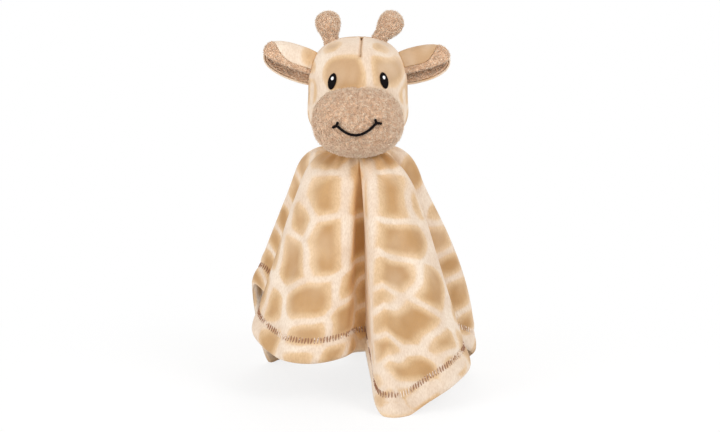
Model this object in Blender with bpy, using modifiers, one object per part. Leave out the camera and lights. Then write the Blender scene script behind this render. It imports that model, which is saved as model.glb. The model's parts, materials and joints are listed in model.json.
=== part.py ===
"""A comfort blanket lovey: a giraffe's head sewn on the middle of a square blanket.

Metres, +Z up. The toy faces -Y, and left and right are the viewer's, so left is -X.
The blanket stands on its four corners in deep folds, and the head sits on its middle.
Every piece is drawn about the neck's axis, and one empty then moves the whole toy so
that the middle of its outline stands over the origin.
"""

import math

import bmesh
import bpy
from mathutils import Matrix, Vector

# Blanket: two layers of velour, sewn together at the hem
BLANKET_WIDTH = 0.356
VELOUR_THICK = 0.0016
LINING_THICK = 0.0014
LINING_HEM_SETBACK = 0.004
BAND_FROM_HEM = 0.017
BAND_HEIGHT = 0.005
BAND_THICK = 0.0006
FOOT_CUT = 0.0005
FLOOR_CUT_DEPTH = 0.010

# Neck: a gathered knob of cloth in the middle of the blanket, which the head nods on
NECK_RING_RADIUS = 0.020
NECK_FLANGE_RADIUS = 0.0165
NECK_FLANGE_THICK = 0.0016
NECK_BALL_RADIUS = 0.0115
NECK_THREAD_RADIUS = 0.0008
PATCH_THICK = 0.0014
PATCH_EDGE_DEG = 112

# Head
HEAD_WIDTH = 0.084
HEAD_DEPTH = 0.080
HEAD_ABOVE_MIDDLE = 0.0465
HEAD_BELOW_MIDDLE = 0.0385
HEAD_OVER_NECK = 0.0465
HEAD_BACK_SHIFT = 0.002
HEAD_COVER_THICK = 0.0016

# Muzzle
MUZZLE_WIDTH = 0.077
MUZZLE_FRONT_DEPTH = 0.027
MUZZLE_BACK_DEPTH = 0.014
MUZZLE_HEIGHT = 0.060
MUZZLE_BELOW_HEAD_MIDDLE = 0.0215
MUZZLE_BEFORE_HEAD_MIDDLE = 0.034
MUZZLE_COVER_THICK = 0.0018

# Smile, drawn on the muzzle
SMILE_WIDTH = 0.0335
SMILE_SAG = 0.0098
SMILE_ABOVE_MUZZLE_MIDDLE = 0.0005
SMILE_THREAD_RADIUS = 0.0008
SMILE_TICK_LENGTH = 0.0050

# Eyes: satin stitch in an upright oval
EYE_SPACING = 0.0435
EYE_ABOVE_HEAD_MIDDLE = 0.0105
EYE_WIDTH = 0.0075
EYE_HEIGHT = 0.0130
EYE_RISE = 0.0012
EYE_LEAN_DEG = 13
GLINT_WIDTH = 0.0020
GLINT_HEIGHT = 0.0036
GLINT_RISE = 0.0016
GLINT_ABOVE_EYE_MIDDLE = 0.0024

# Ears: a leaf rolled lengthwise, so that its upper lip hangs over its front, with a
# straight root sewn into the seam between the head panels
EAR_LENGTH = 0.0410
EAR_ROOT_HEIGHT = 0.0290
EAR_CUP_DEPTH = 0.0065
EAR_ROOT_DEPTH = 0.0045
EAR_PINCH_LENGTH = 0.018
EAR_LIP_SETBACK = 0.0030
EAR_COVER_THICK = 0.0014
EAR_LINING_THICK = 0.0012
EAR_LINING_SETBACK = 0.0006
EAR_LAYER_GAP = 0.0006
EAR_BEAD_RADIUS = 0.0017
EAR_SEAM_DEG = 25
EAR_LOWER_CURL_DEG = 95
EAR_UPPER_CURL_DEG = 208
EAR_DROOP_DEG = {"left": 5, "right": 12}

# Ossicones: stuffed knobs, each on a round root in the crown seam
OSSICONE_LENGTH = {"left": 0.0265, "right": 0.0260}
OSSICONE_KNOB_RADIUS = 0.0112
OSSICONE_ROOT_RADIUS = 0.0062
OSSICONE_COVER_THICK = 0.0016
OSSICONE_MOUTH_RADIUS = 0.0030
OSSICONE_WAIST_DEG = 62
OSSICONE_SEAM_DEG = {"left": 60, "right": 66}
OSSICONE_LEAN_DEG = {"left": 8, "right": 21}

# Clearance between pieces that touch or turn on the real toy
GAP = 0.0003
# Points this close are one point
WELD_REACH = 0.00001
ON_AXIS = 0.000001

# Where the hem hangs, as shares of the blanket's side: to the right of the neck, behind
# it, and above the floor. It runs counter-clockwise, seen from above.
HEM_SHARES = (
    ("valley", -0.014, -0.112, 0.112),
    ("valley", 0.014, -0.104, 0.107),
    ("wall", 0.028, -0.197, 0.051),
    ("foot", 0.039, -0.284, 0.000),
    ("corner", 0.076, -0.301, 0.000),
    ("foot", 0.107, -0.289, 0.000),
    ("panel", 0.157, -0.256, 0.022),
    ("panel", 0.219, -0.208, 0.051),
    ("fold", 0.261, -0.124, 0.079),
    ("wall", 0.202, -0.084, 0.112),
    ("valley", 0.084, -0.042, 0.152),
    ("valley", 0.081, -0.014, 0.157),
    ("wall", 0.185, -0.017, 0.118),
    ("fold", 0.272, 0.022, 0.076),
    ("panel", 0.281, 0.084, 0.042),
    ("foot", 0.264, 0.143, 0.000),
    ("corner", 0.247, 0.174, 0.000),
    ("foot", 0.222, 0.199, 0.000),
    ("valley", 0.079, 0.070, 0.140),
    ("valley", 0.062, 0.084, 0.140),
    ("fold", 0.169, 0.236, 0.112),
    ("panel", 0.124, 0.270, 0.073),
    ("foot", 0.062, 0.301, 0.000),
    ("corner", 0.031, 0.312, 0.000),
    ("foot", -0.003, 0.301, 0.000),
    ("valley", 0.000, 0.104, 0.140),
    ("valley", -0.022, 0.098, 0.140),
    ("fold", -0.076, 0.272, 0.124),
    ("fold", -0.118, 0.258, 0.124),
    ("fold", -0.146, 0.236, 0.118),
    ("valley", -0.053, 0.087, 0.140),
    ("valley", -0.070, 0.073, 0.140),
    ("foot", -0.211, 0.222, 0.000),
    ("corner", -0.236, 0.199, 0.000),
    ("foot", -0.253, 0.171, 0.000),
    ("panel", -0.270, 0.124, 0.118),
    ("fold", -0.261, 0.073, 0.230),
    ("valley", -0.219, 0.011, 0.191),
    ("fold", -0.261, -0.056, 0.152),
    ("panel", -0.242, -0.129, 0.124),
    ("panel", -0.174, -0.191, 0.107),
    ("panel", -0.107, -0.219, 0.104),
    ("panel", -0.028, -0.191, 0.112),
)
NECK_HEIGHT_SHARE = 0.574      # of the blanket's side
SHOULDER_REACH_SHARE = 0.33    # of the way from the neck ring out to the hem
SHOULDER_DROP_SHARE = 0.006    # of the blanket's side, all round
FRONT_DROP_SHARE = 0.070       # of the blanket's side, more under the muzzle
SHOULDER_START_SHARE = 0.35    # of the leg from the neck ring to the shoulder
SHOULDER_END_SHARE = 0.14      # of the leg from the shoulder to the hem
RING_TWIST_SHARE = 0.35        # how far the neck ring follows the flat cloth
TWIST_END_SHARE = 0.45         # of a fold's length, where the twist is over
ROW_SHARES = (0.0, 0.11, 0.26)

# Rounder than an ellipsoid by these shares of its radius, halfway to its upper and its
# lower pole
HEAD_FULLNESS_SHARES = (0.085, 0.20)
MUZZLE_FULLNESS_SHARES = (0.04, 0.04)

# Half heights of the ear from its root to its tip, as shares of the root's half height,
# at shares of the ear's length
EAR_OUTLINE_SHARES = (
    (0.02, 0.86),
    (0.16, 0.97),
    (0.34, 0.98),
    (0.54, 0.90),
    (0.72, 0.80),
    (0.86, 0.66),
    (0.95, 0.48),
    (1.00, 0.28),
)

EDGE_LIMIT_SHARE = 0.8         # of an edge's last stretch, where its lining can end
EAR_HINGE_SHARE = 0.8          # of the cup's depth, from its back to its root's plane

# The ossicone's outline above its round root, as shares of its length and knob radius
OSSICONE_OUTLINE_SHARES = (
    (0.17, 0.58),
    (0.30, 0.74),
    (0.45, 0.91),
    (0.61, 1.00),
    (0.77, 0.94),
    (0.90, 0.68),
    (0.975, 0.34),
    (1.00, 0.00),
)

# Counts
HEM_STEPS = 2
HEAD_SEGMENTS = 24
HEAD_RINGS = 14
MUZZLE_SEGMENTS = 20
MUZZLE_RINGS = 12
EAR_STEPS_AROUND = 16
TURN_STEPS = 16
BALL_STEPS = 8
ROOT_STEPS = 5
THREAD_SIDES = 6
RING_STEPS = 24
SMILE_STEPS = 12

# Places that follow from the sizes
NECK_TOP = NECK_HEIGHT_SHARE * BLANKET_WIDTH
DRAPE_TOP = NECK_TOP - VELOUR_THICK - GAP / 2
NECK_FLANGE_BOTTOM = NECK_TOP + GAP
NECK_PIVOT = Vector((0, 0, NECK_FLANGE_BOTTOM + NECK_BALL_RADIUS))
SOCKET_RADIUS = NECK_BALL_RADIUS + GAP
HEAD_MIDDLE = Vector((0, HEAD_BACK_SHIFT, NECK_TOP + HEAD_OVER_NECK))
MUZZLE_MIDDLE = HEAD_MIDDLE - Vector((0, MUZZLE_BEFORE_HEAD_MIDDLE, MUZZLE_BELOW_HEAD_MIDDLE))
SIDES = {"left": -1, "right": 1}

# Colours (linear RGB) and roughness of the materials
CREAM = (0.86, 0.72, 0.54, 1)
TAN_FLEECE = (0.56, 0.40, 0.27, 1)
STUFFING_WHITE = (0.85, 0.84, 0.80, 1)
BLACK_THREAD = (0.012, 0.010, 0.009, 1)
WHITE_THREAD = (0.90, 0.90, 0.88, 1)
BROWN_THREAD = (0.35, 0.20, 0.12, 1)

parts = None
cutters = None


def clear_scene():
    for item in list(bpy.data.objects):
        bpy.data.objects.remove(item, do_unlink=True)


def new_collection(name):
    collection = bpy.data.collections.new(name)
    bpy.context.scene.collection.children.link(collection)
    return collection


def cloth_material(name, colour, roughness):
    material = bpy.data.materials.new(name)
    material.use_nodes = True
    shader = material.node_tree.nodes["Principled BSDF"]
    shader.inputs["Base Color"].default_value = colour
    shader.inputs["Roughness"].default_value = roughness
    shader.inputs["Metallic"].default_value = 0
    return material


def new_empty(name, place, parent=None):
    """An empty at a place given about the neck's axis."""
    empty = bpy.data.objects.new(name, None)
    empty.empty_display_size = NECK_RING_RADIUS
    parts.objects.link(empty)
    empty["place"] = tuple(place)
    if parent is None:
        empty.location = place
    else:
        empty.parent = parent
        empty.location = Vector(place) - Vector(parent["place"])
    return empty


def add_part(name, mesh, colour, roughness, empty):
    """A named piece, drawn about the neck's axis and carried by an empty."""
    piece = bpy.data.objects.new(name, mesh)
    parts.objects.link(piece)
    mesh.materials.clear()
    mesh.materials.append(cloth_material(name, colour, roughness))
    piece.parent = empty
    piece.location = -Vector(empty["place"])
    mesh.shade_smooth()
    return piece


def add_cutter(name, mesh, empty):
    cutter = bpy.data.objects.new(name, mesh)
    cutters.objects.link(cutter)
    cutter.display_type = "WIRE"
    cutter.hide_render = True
    cutter.parent = empty
    cutter.location = -Vector(empty["place"])
    return cutter


def cut(piece, cutter, operation="DIFFERENCE"):
    modifier = piece.modifiers.new("cut by " + cutter.name, "BOOLEAN")
    modifier.operation = operation
    modifier.solver = "EXACT"
    modifier.object = cutter


def solidify(piece, thick, offset):
    modifier = piece.modifiers.new("cloth thickness", "SOLIDIFY")
    modifier.thickness = thick
    modifier.offset = offset


def mesh_from(bm, name):
    mesh = bpy.data.meshes.new(name)
    bm.to_mesh(mesh)
    bm.free()
    return mesh


def ease(share):
    """A smooth step from 0 to 1."""
    share = min(1.0, max(0.0, share))
    return share * share * (3 - 2 * share)


# The draped blanket

def hem_route():
    """The hem's chosen points, with the foot corners a cut's depth under the floor."""
    points = []
    for kind, right, behind, up in HEM_SHARES:
        place = Vector((right, behind, up)) * BLANKET_WIDTH
        place.z -= FOOT_CUT
        points.append((kind, place))
    return points


def spline_point(before, start, end, after, share):
    """A point between start and end of a smooth curve through four points."""
    knots = [0.0]
    for one, two in ((before, start), (start, end), (end, after)):
        knots.append(knots[-1] + (two - one).length ** 0.5)
    at = knots[1] + share * (knots[2] - knots[1])

    def between(one, two, first, last):
        return one.lerp(two, (at - first) / (last - first))

    low = between(before, start, knots[0], knots[1])
    middle = between(start, end, knots[1], knots[2])
    high = between(end, after, knots[2], knots[3])
    lower = between(low, middle, knots[0], knots[2])
    upper = between(middle, high, knots[1], knots[3])
    return between(lower, upper, knots[1], knots[2])


def hem_columns(steps):
    """The hem's points all round, each with its place on the flat square's edge."""
    route = hem_route()
    count = len(route)
    columns = []
    for index, (kind, place) in enumerate(route):
        around = [route[(index + shift) % count][1] for shift in (-1, 0, 1, 2)]
        for step in range(steps):
            columns.append((kind if step == 0 else "", spline_point(*around, step / steps)))
    first = [kind for kind, place in columns].index("corner")
    columns = columns[first:] + columns[:first]
    places = [place for kind, place in columns]
    corners = [index for index, (kind, place) in enumerate(columns) if kind == "corner"]
    return places, flat_edge_places(places, corners)


def flat_edge_places(places, corners):
    """Where each hem point lies on the flat square, whose first corner faces forward."""
    turn = math.atan2(places[0].y, places[0].x)
    flat = []
    ends = corners[1:] + [len(places)]
    for quarter, (start, end) in enumerate(zip(corners, ends)):
        run = [places[index % len(places)] for index in range(start, end + 1)]
        lengths = [0.0]
        for one, two in zip(run, run[1:]):
            lengths.append(lengths[-1] + (two - one).length)
        from_corner = Vector((math.cos(turn + quarter * math.pi / 2),
                              math.sin(turn + quarter * math.pi / 2)))
        to_corner = Vector((-from_corner.y, from_corner.x))
        for length in lengths[:-1]:
            edge = from_corner.lerp(to_corner, length / lengths[-1])
            flat.append(edge * BLANKET_WIDTH / math.sqrt(2))
    return flat


def fold_line(hem, flat):
    """One fold's line down the cloth, from the neck ring over a shoulder to the hem.

    Gives a function of the share of its length, from 0 at the ring to 1 at the hem,
    and that length.
    """
    reach = math.hypot(hem.x, hem.y)
    azimuth = math.atan2(hem.y, hem.x)
    turn = math.atan2(flat.y, flat.x) - azimuth
    turn = math.atan2(math.sin(turn), math.cos(turn))
    front = max(0.0, -math.sin(azimuth))
    drop = (SHOULDER_DROP_SHARE + FRONT_DROP_SHARE * front) * BLANKET_WIDTH
    ring = Vector((NECK_RING_RADIUS, DRAPE_TOP))
    shoulder = Vector((ring.x + SHOULDER_REACH_SHARE * (reach - ring.x), DRAPE_TOP - drop))
    end = Vector((reach, hem.z))
    bend_start = ring.lerp(shoulder, SHOULDER_START_SHARE)
    bend_end = shoulder.lerp(end, SHOULDER_END_SHARE)
    bend_length = (bend_end - bend_start).length
    flat_length = (bend_start - ring).length
    hang_length = (end - bend_end).length
    length = flat_length + bend_length + hang_length

    def place(share):
        run = share * length
        if run < flat_length:
            spot = ring.lerp(bend_start, run / flat_length)
        elif run < flat_length + bend_length:
            along = (run - flat_length) / bend_length
            spot = bend_start.lerp(shoulder, along).lerp(shoulder.lerp(bend_end, along), along)
        else:
            spot = bend_end.lerp(end, (run - flat_length - bend_length) / hang_length)
        angle = azimuth + turn * RING_TWIST_SHARE * (1 - ease(share / TWIST_END_SHARE))
        return Vector((spot.x * math.cos(angle), spot.x * math.sin(angle), spot.y))

    return place, length


def drape_rows(end_setback):
    """The drape's rows of points from the neck ring to the hem, one point a column."""
    hems, flats = hem_columns(HEM_STEPS)
    columns = []
    for hem, flat in zip(hems, flats):
        place, length = fold_line(hem, flat)
        band_bottom = 1 - BAND_FROM_HEM / length
        band_top = 1 - (BAND_FROM_HEM + BAND_HEIGHT) / length
        column = [place(share) for share in ROW_SHARES]
        column.append(place(band_top))
        column.append(place(band_bottom))
        column.append(column[-1].lerp(place(1.0), 1 - end_setback / BAND_FROM_HEM))
        columns.append(column)
    return [list(row) for row in zip(*columns)]


def sheet_between(rows, name, middle=None):
    """A sheet of triangles through closed rows of points, with a middle on the first."""
    bm = bmesh.new()
    grid = [[bm.verts.new(point) for point in row] for row in rows]
    count = len(rows[0])
    for upper, lower in zip(grid, grid[1:]):
        for index in range(count):
            after = (index + 1) % count
            bm.faces.new((upper[index], lower[index], lower[after]))
            bm.faces.new((upper[index], lower[after], upper[after]))
    if middle is not None:
        top = bm.verts.new(middle)
        for index in range(count):
            bm.faces.new((top, grid[0][index], grid[0][(index + 1) % count]))
    return mesh_from(bm, name)


def make_blanket(empty):
    top = Vector((0, 0, DRAPE_TOP))
    outer = add_part("blanket_outer", sheet_between(drape_rows(0), "blanket_outer", top),
                     CREAM, 0.9, empty)
    solidify(outer, VELOUR_THICK, 1 + GAP / VELOUR_THICK)
    lining_rows = drape_rows(LINING_HEM_SETBACK)
    lining = add_part("blanket_lining", sheet_between(lining_rows, "blanket_lining", top),
                      CREAM, 0.9, empty)
    solidify(lining, LINING_THICK, -1 - GAP / LINING_THICK)
    cut(outer, floor_cutter(empty))
    return outer


def floor_cutter(empty):
    """A slab under the floor, which cuts the corner feet flat."""
    bm = bmesh.new()
    bmesh.ops.create_cube(bm, size=1)
    size = Vector((BLANKET_WIDTH, BLANKET_WIDTH, FLOOR_CUT_DEPTH))
    bmesh.ops.scale(bm, vec=size, verts=bm.verts)
    bmesh.ops.translate(bm, vec=(0, 0, -FLOOR_CUT_DEPTH / 2), verts=bm.verts)
    return add_cutter("floor_slab", mesh_from(bm, "floor_slab"), empty)


def make_hem_band(empty):
    """The stitched band a little above the hem, as a thin ribbon on the velour."""
    rows = drape_rows(0)
    drape = sheet_between(rows, "drape", Vector((0, 0, DRAPE_TOP)))
    near = GAP / 2 + VELOUR_THICK + GAP
    far = near + BAND_THICK
    count = len(rows[0])
    top = len(ROW_SHARES) * count
    bottom = top + count
    rings = []
    for first, height in ((top, near), (top, far), (bottom, far), (bottom, near), (top, near)):
        verts = drape.vertices[first:first + count]
        rings.append([vert.co + vert.normal * height for vert in verts])
    bpy.data.meshes.remove(drape)
    mesh = sheet_between(rings, "hem_zigzag_stitch")
    weld(mesh)
    add_part("hem_zigzag_stitch", mesh, BROWN_THREAD, 0.8, empty)


# Turned pieces and the neck

def turned(name, profile, steps=TURN_STEPS):
    """A solid turned about Z from a profile of (radius, height), outer side downwards.

    A profile that starts and ends on the axis is a plain solid, and any other is a
    closed outline that makes a ring.
    """
    bm = bmesh.new()
    verts = [bm.verts.new((radius, 0, height)) for radius, height in profile]
    for one, two in zip(verts, verts[1:]):
        bm.edges.new((one, two))
    on_axis = profile[0][0] == 0 and profile[-1][0] == 0
    if not on_axis:
        bm.edges.new((verts[-1], verts[0]))
    mesh = mesh_from(bm, name + "_profile")
    source = bpy.data.objects.new(name + "_profile", mesh)
    bpy.context.scene.collection.objects.link(source)
    screw = source.modifiers.new("turn", "SCREW")
    screw.steps = steps
    screw.render_steps = steps
    screw.use_merge_vertices = on_axis
    screw.merge_threshold = WELD_REACH
    graph = bpy.context.evaluated_depsgraph_get()
    result = bpy.data.meshes.new_from_object(source.evaluated_get(graph))
    bpy.data.objects.remove(source, do_unlink=True)
    bpy.data.meshes.remove(mesh)
    result.name = name
    weld(result)
    return result


def weld(mesh):
    """Joins the seam of a turned or swept mesh and turns its faces outwards."""
    bm = bmesh.new()
    bm.from_mesh(mesh)
    bmesh.ops.remove_doubles(bm, verts=bm.verts, dist=WELD_REACH)
    bmesh.ops.recalc_face_normals(bm, faces=bm.faces)
    bm.to_mesh(mesh)
    bm.free()


def arc(radius, start_deg, end_deg, steps):
    """Points (radius, height) of a circle about its middle, degrees down from the top."""
    points = []
    for step in range(steps + 1):
        angle = math.radians(start_deg + (end_deg - start_deg) * step / steps)
        across = radius * math.sin(angle)
        points.append((0 if abs(across) < ON_AXIS else across, radius * math.cos(angle)))
    return points


def moved(mesh, matrix):
    mesh.transform(matrix)
    return mesh


def make_neck(blanket_empty, neck_empty, head_empty):
    """The seam thread on the blanket, the gathered knob, and the patch over the knob."""
    seat = NECK_FLANGE_BOTTOM - NECK_PIVOT.z
    flange_top = seat + NECK_FLANGE_THICK
    waist_deg = math.degrees(math.acos(flange_top / NECK_BALL_RADIUS))
    knob = arc(NECK_BALL_RADIUS, 0, waist_deg, BALL_STEPS)
    knob += [(NECK_FLANGE_RADIUS, flange_top), (NECK_FLANGE_RADIUS, seat), (0, seat)]
    gather = turned("neck_gather", knob, RING_STEPS)
    add_part("neck_gather", moved(gather, Matrix.Translation(NECK_PIVOT)), CREAM, 0.9, neck_empty)

    inner = arc(SOCKET_RADIUS, PATCH_EDGE_DEG, 0, BALL_STEPS)
    outer = arc(SOCKET_RADIUS + PATCH_THICK, 0, PATCH_EDGE_DEG, BALL_STEPS)
    patch = turned("neck_closing_patch", outer + inner, RING_STEPS)
    add_part("neck_closing_patch", moved(patch, Matrix.Translation(NECK_PIVOT)),
             CREAM, 0.9, head_empty)

    mesh = ring_mesh("neck_seam_thread", NECK_FLANGE_RADIUS + GAP + NECK_THREAD_RADIUS,
                     NECK_THREAD_RADIUS)
    place = Matrix.Translation((0, 0, NECK_FLANGE_BOTTOM + NECK_THREAD_RADIUS))
    add_part("neck_seam_thread", moved(mesh, place), CREAM, 0.8, blanket_empty)


def ring_mesh(name, ring_radius, thread_radius):
    section = arc(thread_radius, 0, 360, THREAD_SIDES)[:-1]
    return turned(name, [(ring_radius + across, up) for across, up in section], RING_STEPS)


# Head and muzzle

def round_form(bm, segments, rings, half, back, below, fullness):
    """A ball of half sizes (right, front, up), with its own half sizes at the back and
    below, and its own fullness above and below its middle."""
    bmesh.ops.create_uvsphere(bm, u_segments=segments, v_segments=rings, radius=1)
    for vert in bm.verts:
        latitude = math.asin(max(-1.0, min(1.0, vert.co.z)))
        upper = vert.co.z > 0
        swell = 1 + fullness[0 if upper else 1] * math.sin(2 * latitude) ** 2
        depth = back if vert.co.y > 0 else half.y
        height = half.z if upper else below
        vert.co = swell * Vector((vert.co.x * half.x, vert.co.y * depth, vert.co.z * height))


def head_form(grow):
    """The head's outer surface, grown by a margin, as a bmesh about the neck's axis."""
    bm = bmesh.new()
    half = Vector((HEAD_WIDTH / 2, HEAD_DEPTH / 2, HEAD_ABOVE_MIDDLE)) + Vector((grow, grow, grow))
    round_form(bm, HEAD_SEGMENTS, HEAD_RINGS, half, half.y, HEAD_BELOW_MIDDLE + grow,
               HEAD_FULLNESS_SHARES)
    bmesh.ops.translate(bm, vec=HEAD_MIDDLE, verts=bm.verts)
    return bm


def muzzle_form(grow):
    bm = bmesh.new()
    half = Vector((MUZZLE_WIDTH / 2, MUZZLE_FRONT_DEPTH, MUZZLE_HEIGHT / 2))
    half += Vector((grow, grow, grow))
    round_form(bm, MUZZLE_SEGMENTS, MUZZLE_RINGS, half, MUZZLE_BACK_DEPTH + grow, half.z,
               MUZZLE_FULLNESS_SHARES)
    bmesh.ops.translate(bm, vec=MUZZLE_MIDDLE, verts=bm.verts)
    return bm


def half_form(facing, grow):
    """The half of the head's surface before (-1) or behind (1) the crown seam, as a mesh."""
    bm = head_form(grow)
    edge = HEAD_MIDDLE + Vector((0, facing * GAP / 2, 0))
    geometry = list(bm.verts) + list(bm.edges) + list(bm.faces)
    bmesh.ops.bisect_plane(bm, geom=geometry, dist=WELD_REACH, plane_co=edge,
                           plane_no=(0, facing, 0), clear_inner=True)
    if grow < 0:
        bmesh.ops.reverse_faces(bm, faces=bm.faces)
    return mesh_from(bm, "half_form")


def head_panel(name, facing, empty):
    """One panel of the head's cover: an outer and an inner half, joined at the seam."""
    bm = bmesh.new()
    for grow in (0, -HEAD_COVER_THICK):
        half = half_form(facing, grow)
        bm.from_mesh(half)
        bpy.data.meshes.remove(half)
    bmesh.ops.bridge_loops(bm, edges=[edge for edge in bm.edges if edge.is_boundary])
    bmesh.ops.recalc_face_normals(bm, faces=bm.faces)
    return add_part(name, mesh_from(bm, name), CREAM, 0.9, empty)


def make_head(empty):
    face = head_panel("head_face_cover", -1, empty)
    back = head_panel("head_back_cover", 1, empty)
    inside = head_form(-HEAD_COVER_THICK - GAP)
    stuffing = add_part("head_stuffing", mesh_from(inside, "head_stuffing"),
                        STUFFING_WHITE, 0.95, empty)
    ball = arc(SOCKET_RADIUS + PATCH_THICK + GAP, 0, 180, BALL_STEPS + 2)
    socket = turned("neck_socket", ball, RING_STEPS)
    socket = add_cutter("neck_socket", moved(socket, Matrix.Translation(NECK_PIVOT)), empty)
    for piece in (face, back, stuffing):
        cut(piece, socket)
        for side in SIDES:
            cut(piece, ossicone_socket(side, empty))


def make_muzzle(empty):
    head_room = add_cutter("head_room", mesh_from(head_form(GAP), "head_room"), empty)
    inner = add_cutter("muzzle_inside", mesh_from(muzzle_form(-MUZZLE_COVER_THICK), "muzzle_inside"),
                       empty)
    cover = add_part("muzzle_cover", mesh_from(muzzle_form(0), "muzzle_cover"),
                     TAN_FLEECE, 0.95, empty)
    cut(cover, inner)
    cut(cover, head_room)
    inside = muzzle_form(-MUZZLE_COVER_THICK - GAP)
    stuffing = add_part("muzzle_stuffing", mesh_from(inside, "muzzle_stuffing"),
                        STUFFING_WHITE, 0.95, empty)
    cut(stuffing, head_room)
    return head_room


# Embroidery

def front_of_muzzle(right, up, rise):
    """A point over the muzzle's front, at a place right of and above its middle."""
    half = Vector((MUZZLE_WIDTH / 2, MUZZLE_FRONT_DEPTH, MUZZLE_HEIGHT / 2))
    latitude = math.asin(up / half.z)
    for step in range(4):
        swell = 1 + MUZZLE_FULLNESS_SHARES[0] * math.sin(2 * latitude) ** 2
        latitude = math.asin(up / (half.z * swell))
    across = right / (half.x * math.cos(latitude) * swell)
    forward = half.y * math.cos(latitude) * swell * math.sqrt(1 - across * across)
    normal = Vector((right / half.x ** 2, -forward / half.y ** 2, up / half.z ** 2)).normalized()
    return MUZZLE_MIDDLE + Vector((right, -forward, up)) + normal * rise


def thread_mesh(name, points, radius):
    """A closed tube of thread through points."""
    curve = bpy.data.curves.new(name, "CURVE")
    curve.dimensions = "3D"
    curve.bevel_depth = radius
    curve.bevel_resolution = 1
    curve.use_fill_caps = True
    spline = curve.splines.new("POLY")
    spline.points.add(len(points) - 1)
    for spot, point in zip(spline.points, points):
        spot.co = (*point, 1)
    source = bpy.data.objects.new(name, curve)
    bpy.context.scene.collection.objects.link(source)
    graph = bpy.context.evaluated_depsgraph_get()
    mesh = bpy.data.meshes.new_from_object(source.evaluated_get(graph))
    bpy.data.objects.remove(source, do_unlink=True)
    bpy.data.curves.remove(curve)
    mesh.name = name
    weld(mesh)
    return mesh


def smile_points():
    """The smile's sagging arc over the muzzle, left to right."""
    points = []
    rise = SMILE_THREAD_RADIUS + GAP
    for step in range(SMILE_STEPS + 1):
        across = 2 * step / SMILE_STEPS - 1
        up = SMILE_ABOVE_MUZZLE_MIDDLE - SMILE_SAG * (1 - across * across)
        points.append(front_of_muzzle(across * SMILE_WIDTH / 2, up, rise))
    return points


def make_smile(empty):
    points = smile_points()
    mouth = add_part("mouth_embroidery", thread_mesh("mouth_embroidery", points, SMILE_THREAD_RADIUS),
                     BLACK_THREAD, 0.6, empty)
    for side, end, inner in (("left", points[0], points[1]), ("right", points[-1], points[-2])):
        along = (end - inner).normalized()
        outward = (end - MUZZLE_MIDDLE).normalized()
        across = along.cross(outward).normalized() * SMILE_TICK_LENGTH / 2
        tick = thread_mesh("mouth_tick_" + side, [end - across, end, end + across],
                           SMILE_THREAD_RADIUS)
        cut(mouth, add_cutter("mouth_tick_" + side, tick, empty), "UNION")


def head_surface(right, up, grow=0.0):
    """A point of the head's front at a place right of and above its middle, and the
    outward direction there."""
    half = Vector((HEAD_WIDTH / 2 + grow, HEAD_DEPTH / 2 + grow, HEAD_ABOVE_MIDDLE + grow))
    latitude = math.asin(up / half.z)
    for step in range(4):
        swell = 1 + HEAD_FULLNESS_SHARES[0] * math.sin(2 * latitude) ** 2
        latitude = math.asin(up / (half.z * swell))
    across = right / (half.x * math.cos(latitude) * swell)
    forward = half.y * math.cos(latitude) * swell * math.sqrt(1 - across * across)
    normal = Vector((right / half.x ** 2, -forward / half.y ** 2, up / half.z ** 2)).normalized()
    return HEAD_MIDDLE + Vector((right, -forward, up)), normal


def button_mesh(name, half_width, half_height, rise, place, normal, lean_deg):
    """A low round button of stitches, upright and leaning, whose middle lies on a place."""
    bm = bmesh.new()
    bmesh.ops.create_uvsphere(bm, u_segments=12, v_segments=8, radius=1)
    bmesh.ops.scale(bm, vec=(half_width, rise, half_height), verts=bm.verts)
    lean = Matrix.Rotation(math.radians(lean_deg), 4, "Y")
    frame = normal.to_track_quat("-Y", "Z").to_matrix().to_4x4()
    bmesh.ops.transform(bm, matrix=Matrix.Translation(place) @ frame @ lean, verts=bm.verts)
    return mesh_from(bm, name)


def make_eye(side, head_room, empty):
    sign = SIDES[side]
    place, normal = head_surface(sign * EYE_SPACING / 2, EYE_ABOVE_HEAD_MIDDLE)
    lean = sign * EYE_LEAN_DEG
    shape = (EYE_WIDTH / 2, EYE_HEIGHT / 2, EYE_RISE)
    eye = add_part(f"eye_{side}_embroidery", button_mesh(f"eye_{side}", *shape, place, normal, -lean),
                   BLACK_THREAD, 0.5, empty)
    cut(eye, head_room)
    grown = tuple(size + GAP for size in shape)
    room = add_cutter(f"eye_{side}_room", button_mesh(f"eye_{side}_room", *grown, place, normal, -lean),
                      empty)
    spot, normal = head_surface(sign * EYE_SPACING / 2, EYE_ABOVE_HEAD_MIDDLE + GLINT_ABOVE_EYE_MIDDLE)
    glint = button_mesh(f"glint_{side}", GLINT_WIDTH / 2, GLINT_HEIGHT / 2, GLINT_RISE + GAP,
                        spot, normal, -lean)
    glint = add_part(f"eye_{side}_highlight", glint, WHITE_THREAD, 0.5, empty)
    cut(glint, room)
    cut(glint, head_room)


# Pieces sewn into the seam between the head's panels

def seam_place(side, seam_deg):
    """A place on the seam, degrees up from the head's widest point, with the seam's own
    direction there and the outward one."""
    sign = SIDES[side]

    def at(angle):
        swell = 1 + HEAD_FULLNESS_SHARES[0] * math.sin(2 * angle) ** 2
        right = sign * HEAD_WIDTH / 2 * swell * math.cos(angle)
        return HEAD_MIDDLE + Vector((right, 0, HEAD_ABOVE_MIDDLE * swell * math.sin(angle)))

    angle = math.radians(seam_deg)
    along = (at(angle + 0.01) - at(angle - 0.01)).normalized()
    outward = Vector((sign * along.z, 0, -sign * along.x))
    return at(angle), along, outward


def ear_axis(side):
    place, along, outward = seam_place(side, EAR_SEAM_DEG)
    return place + outward * (EAR_BEAD_RADIUS + GAP), along, outward


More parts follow.
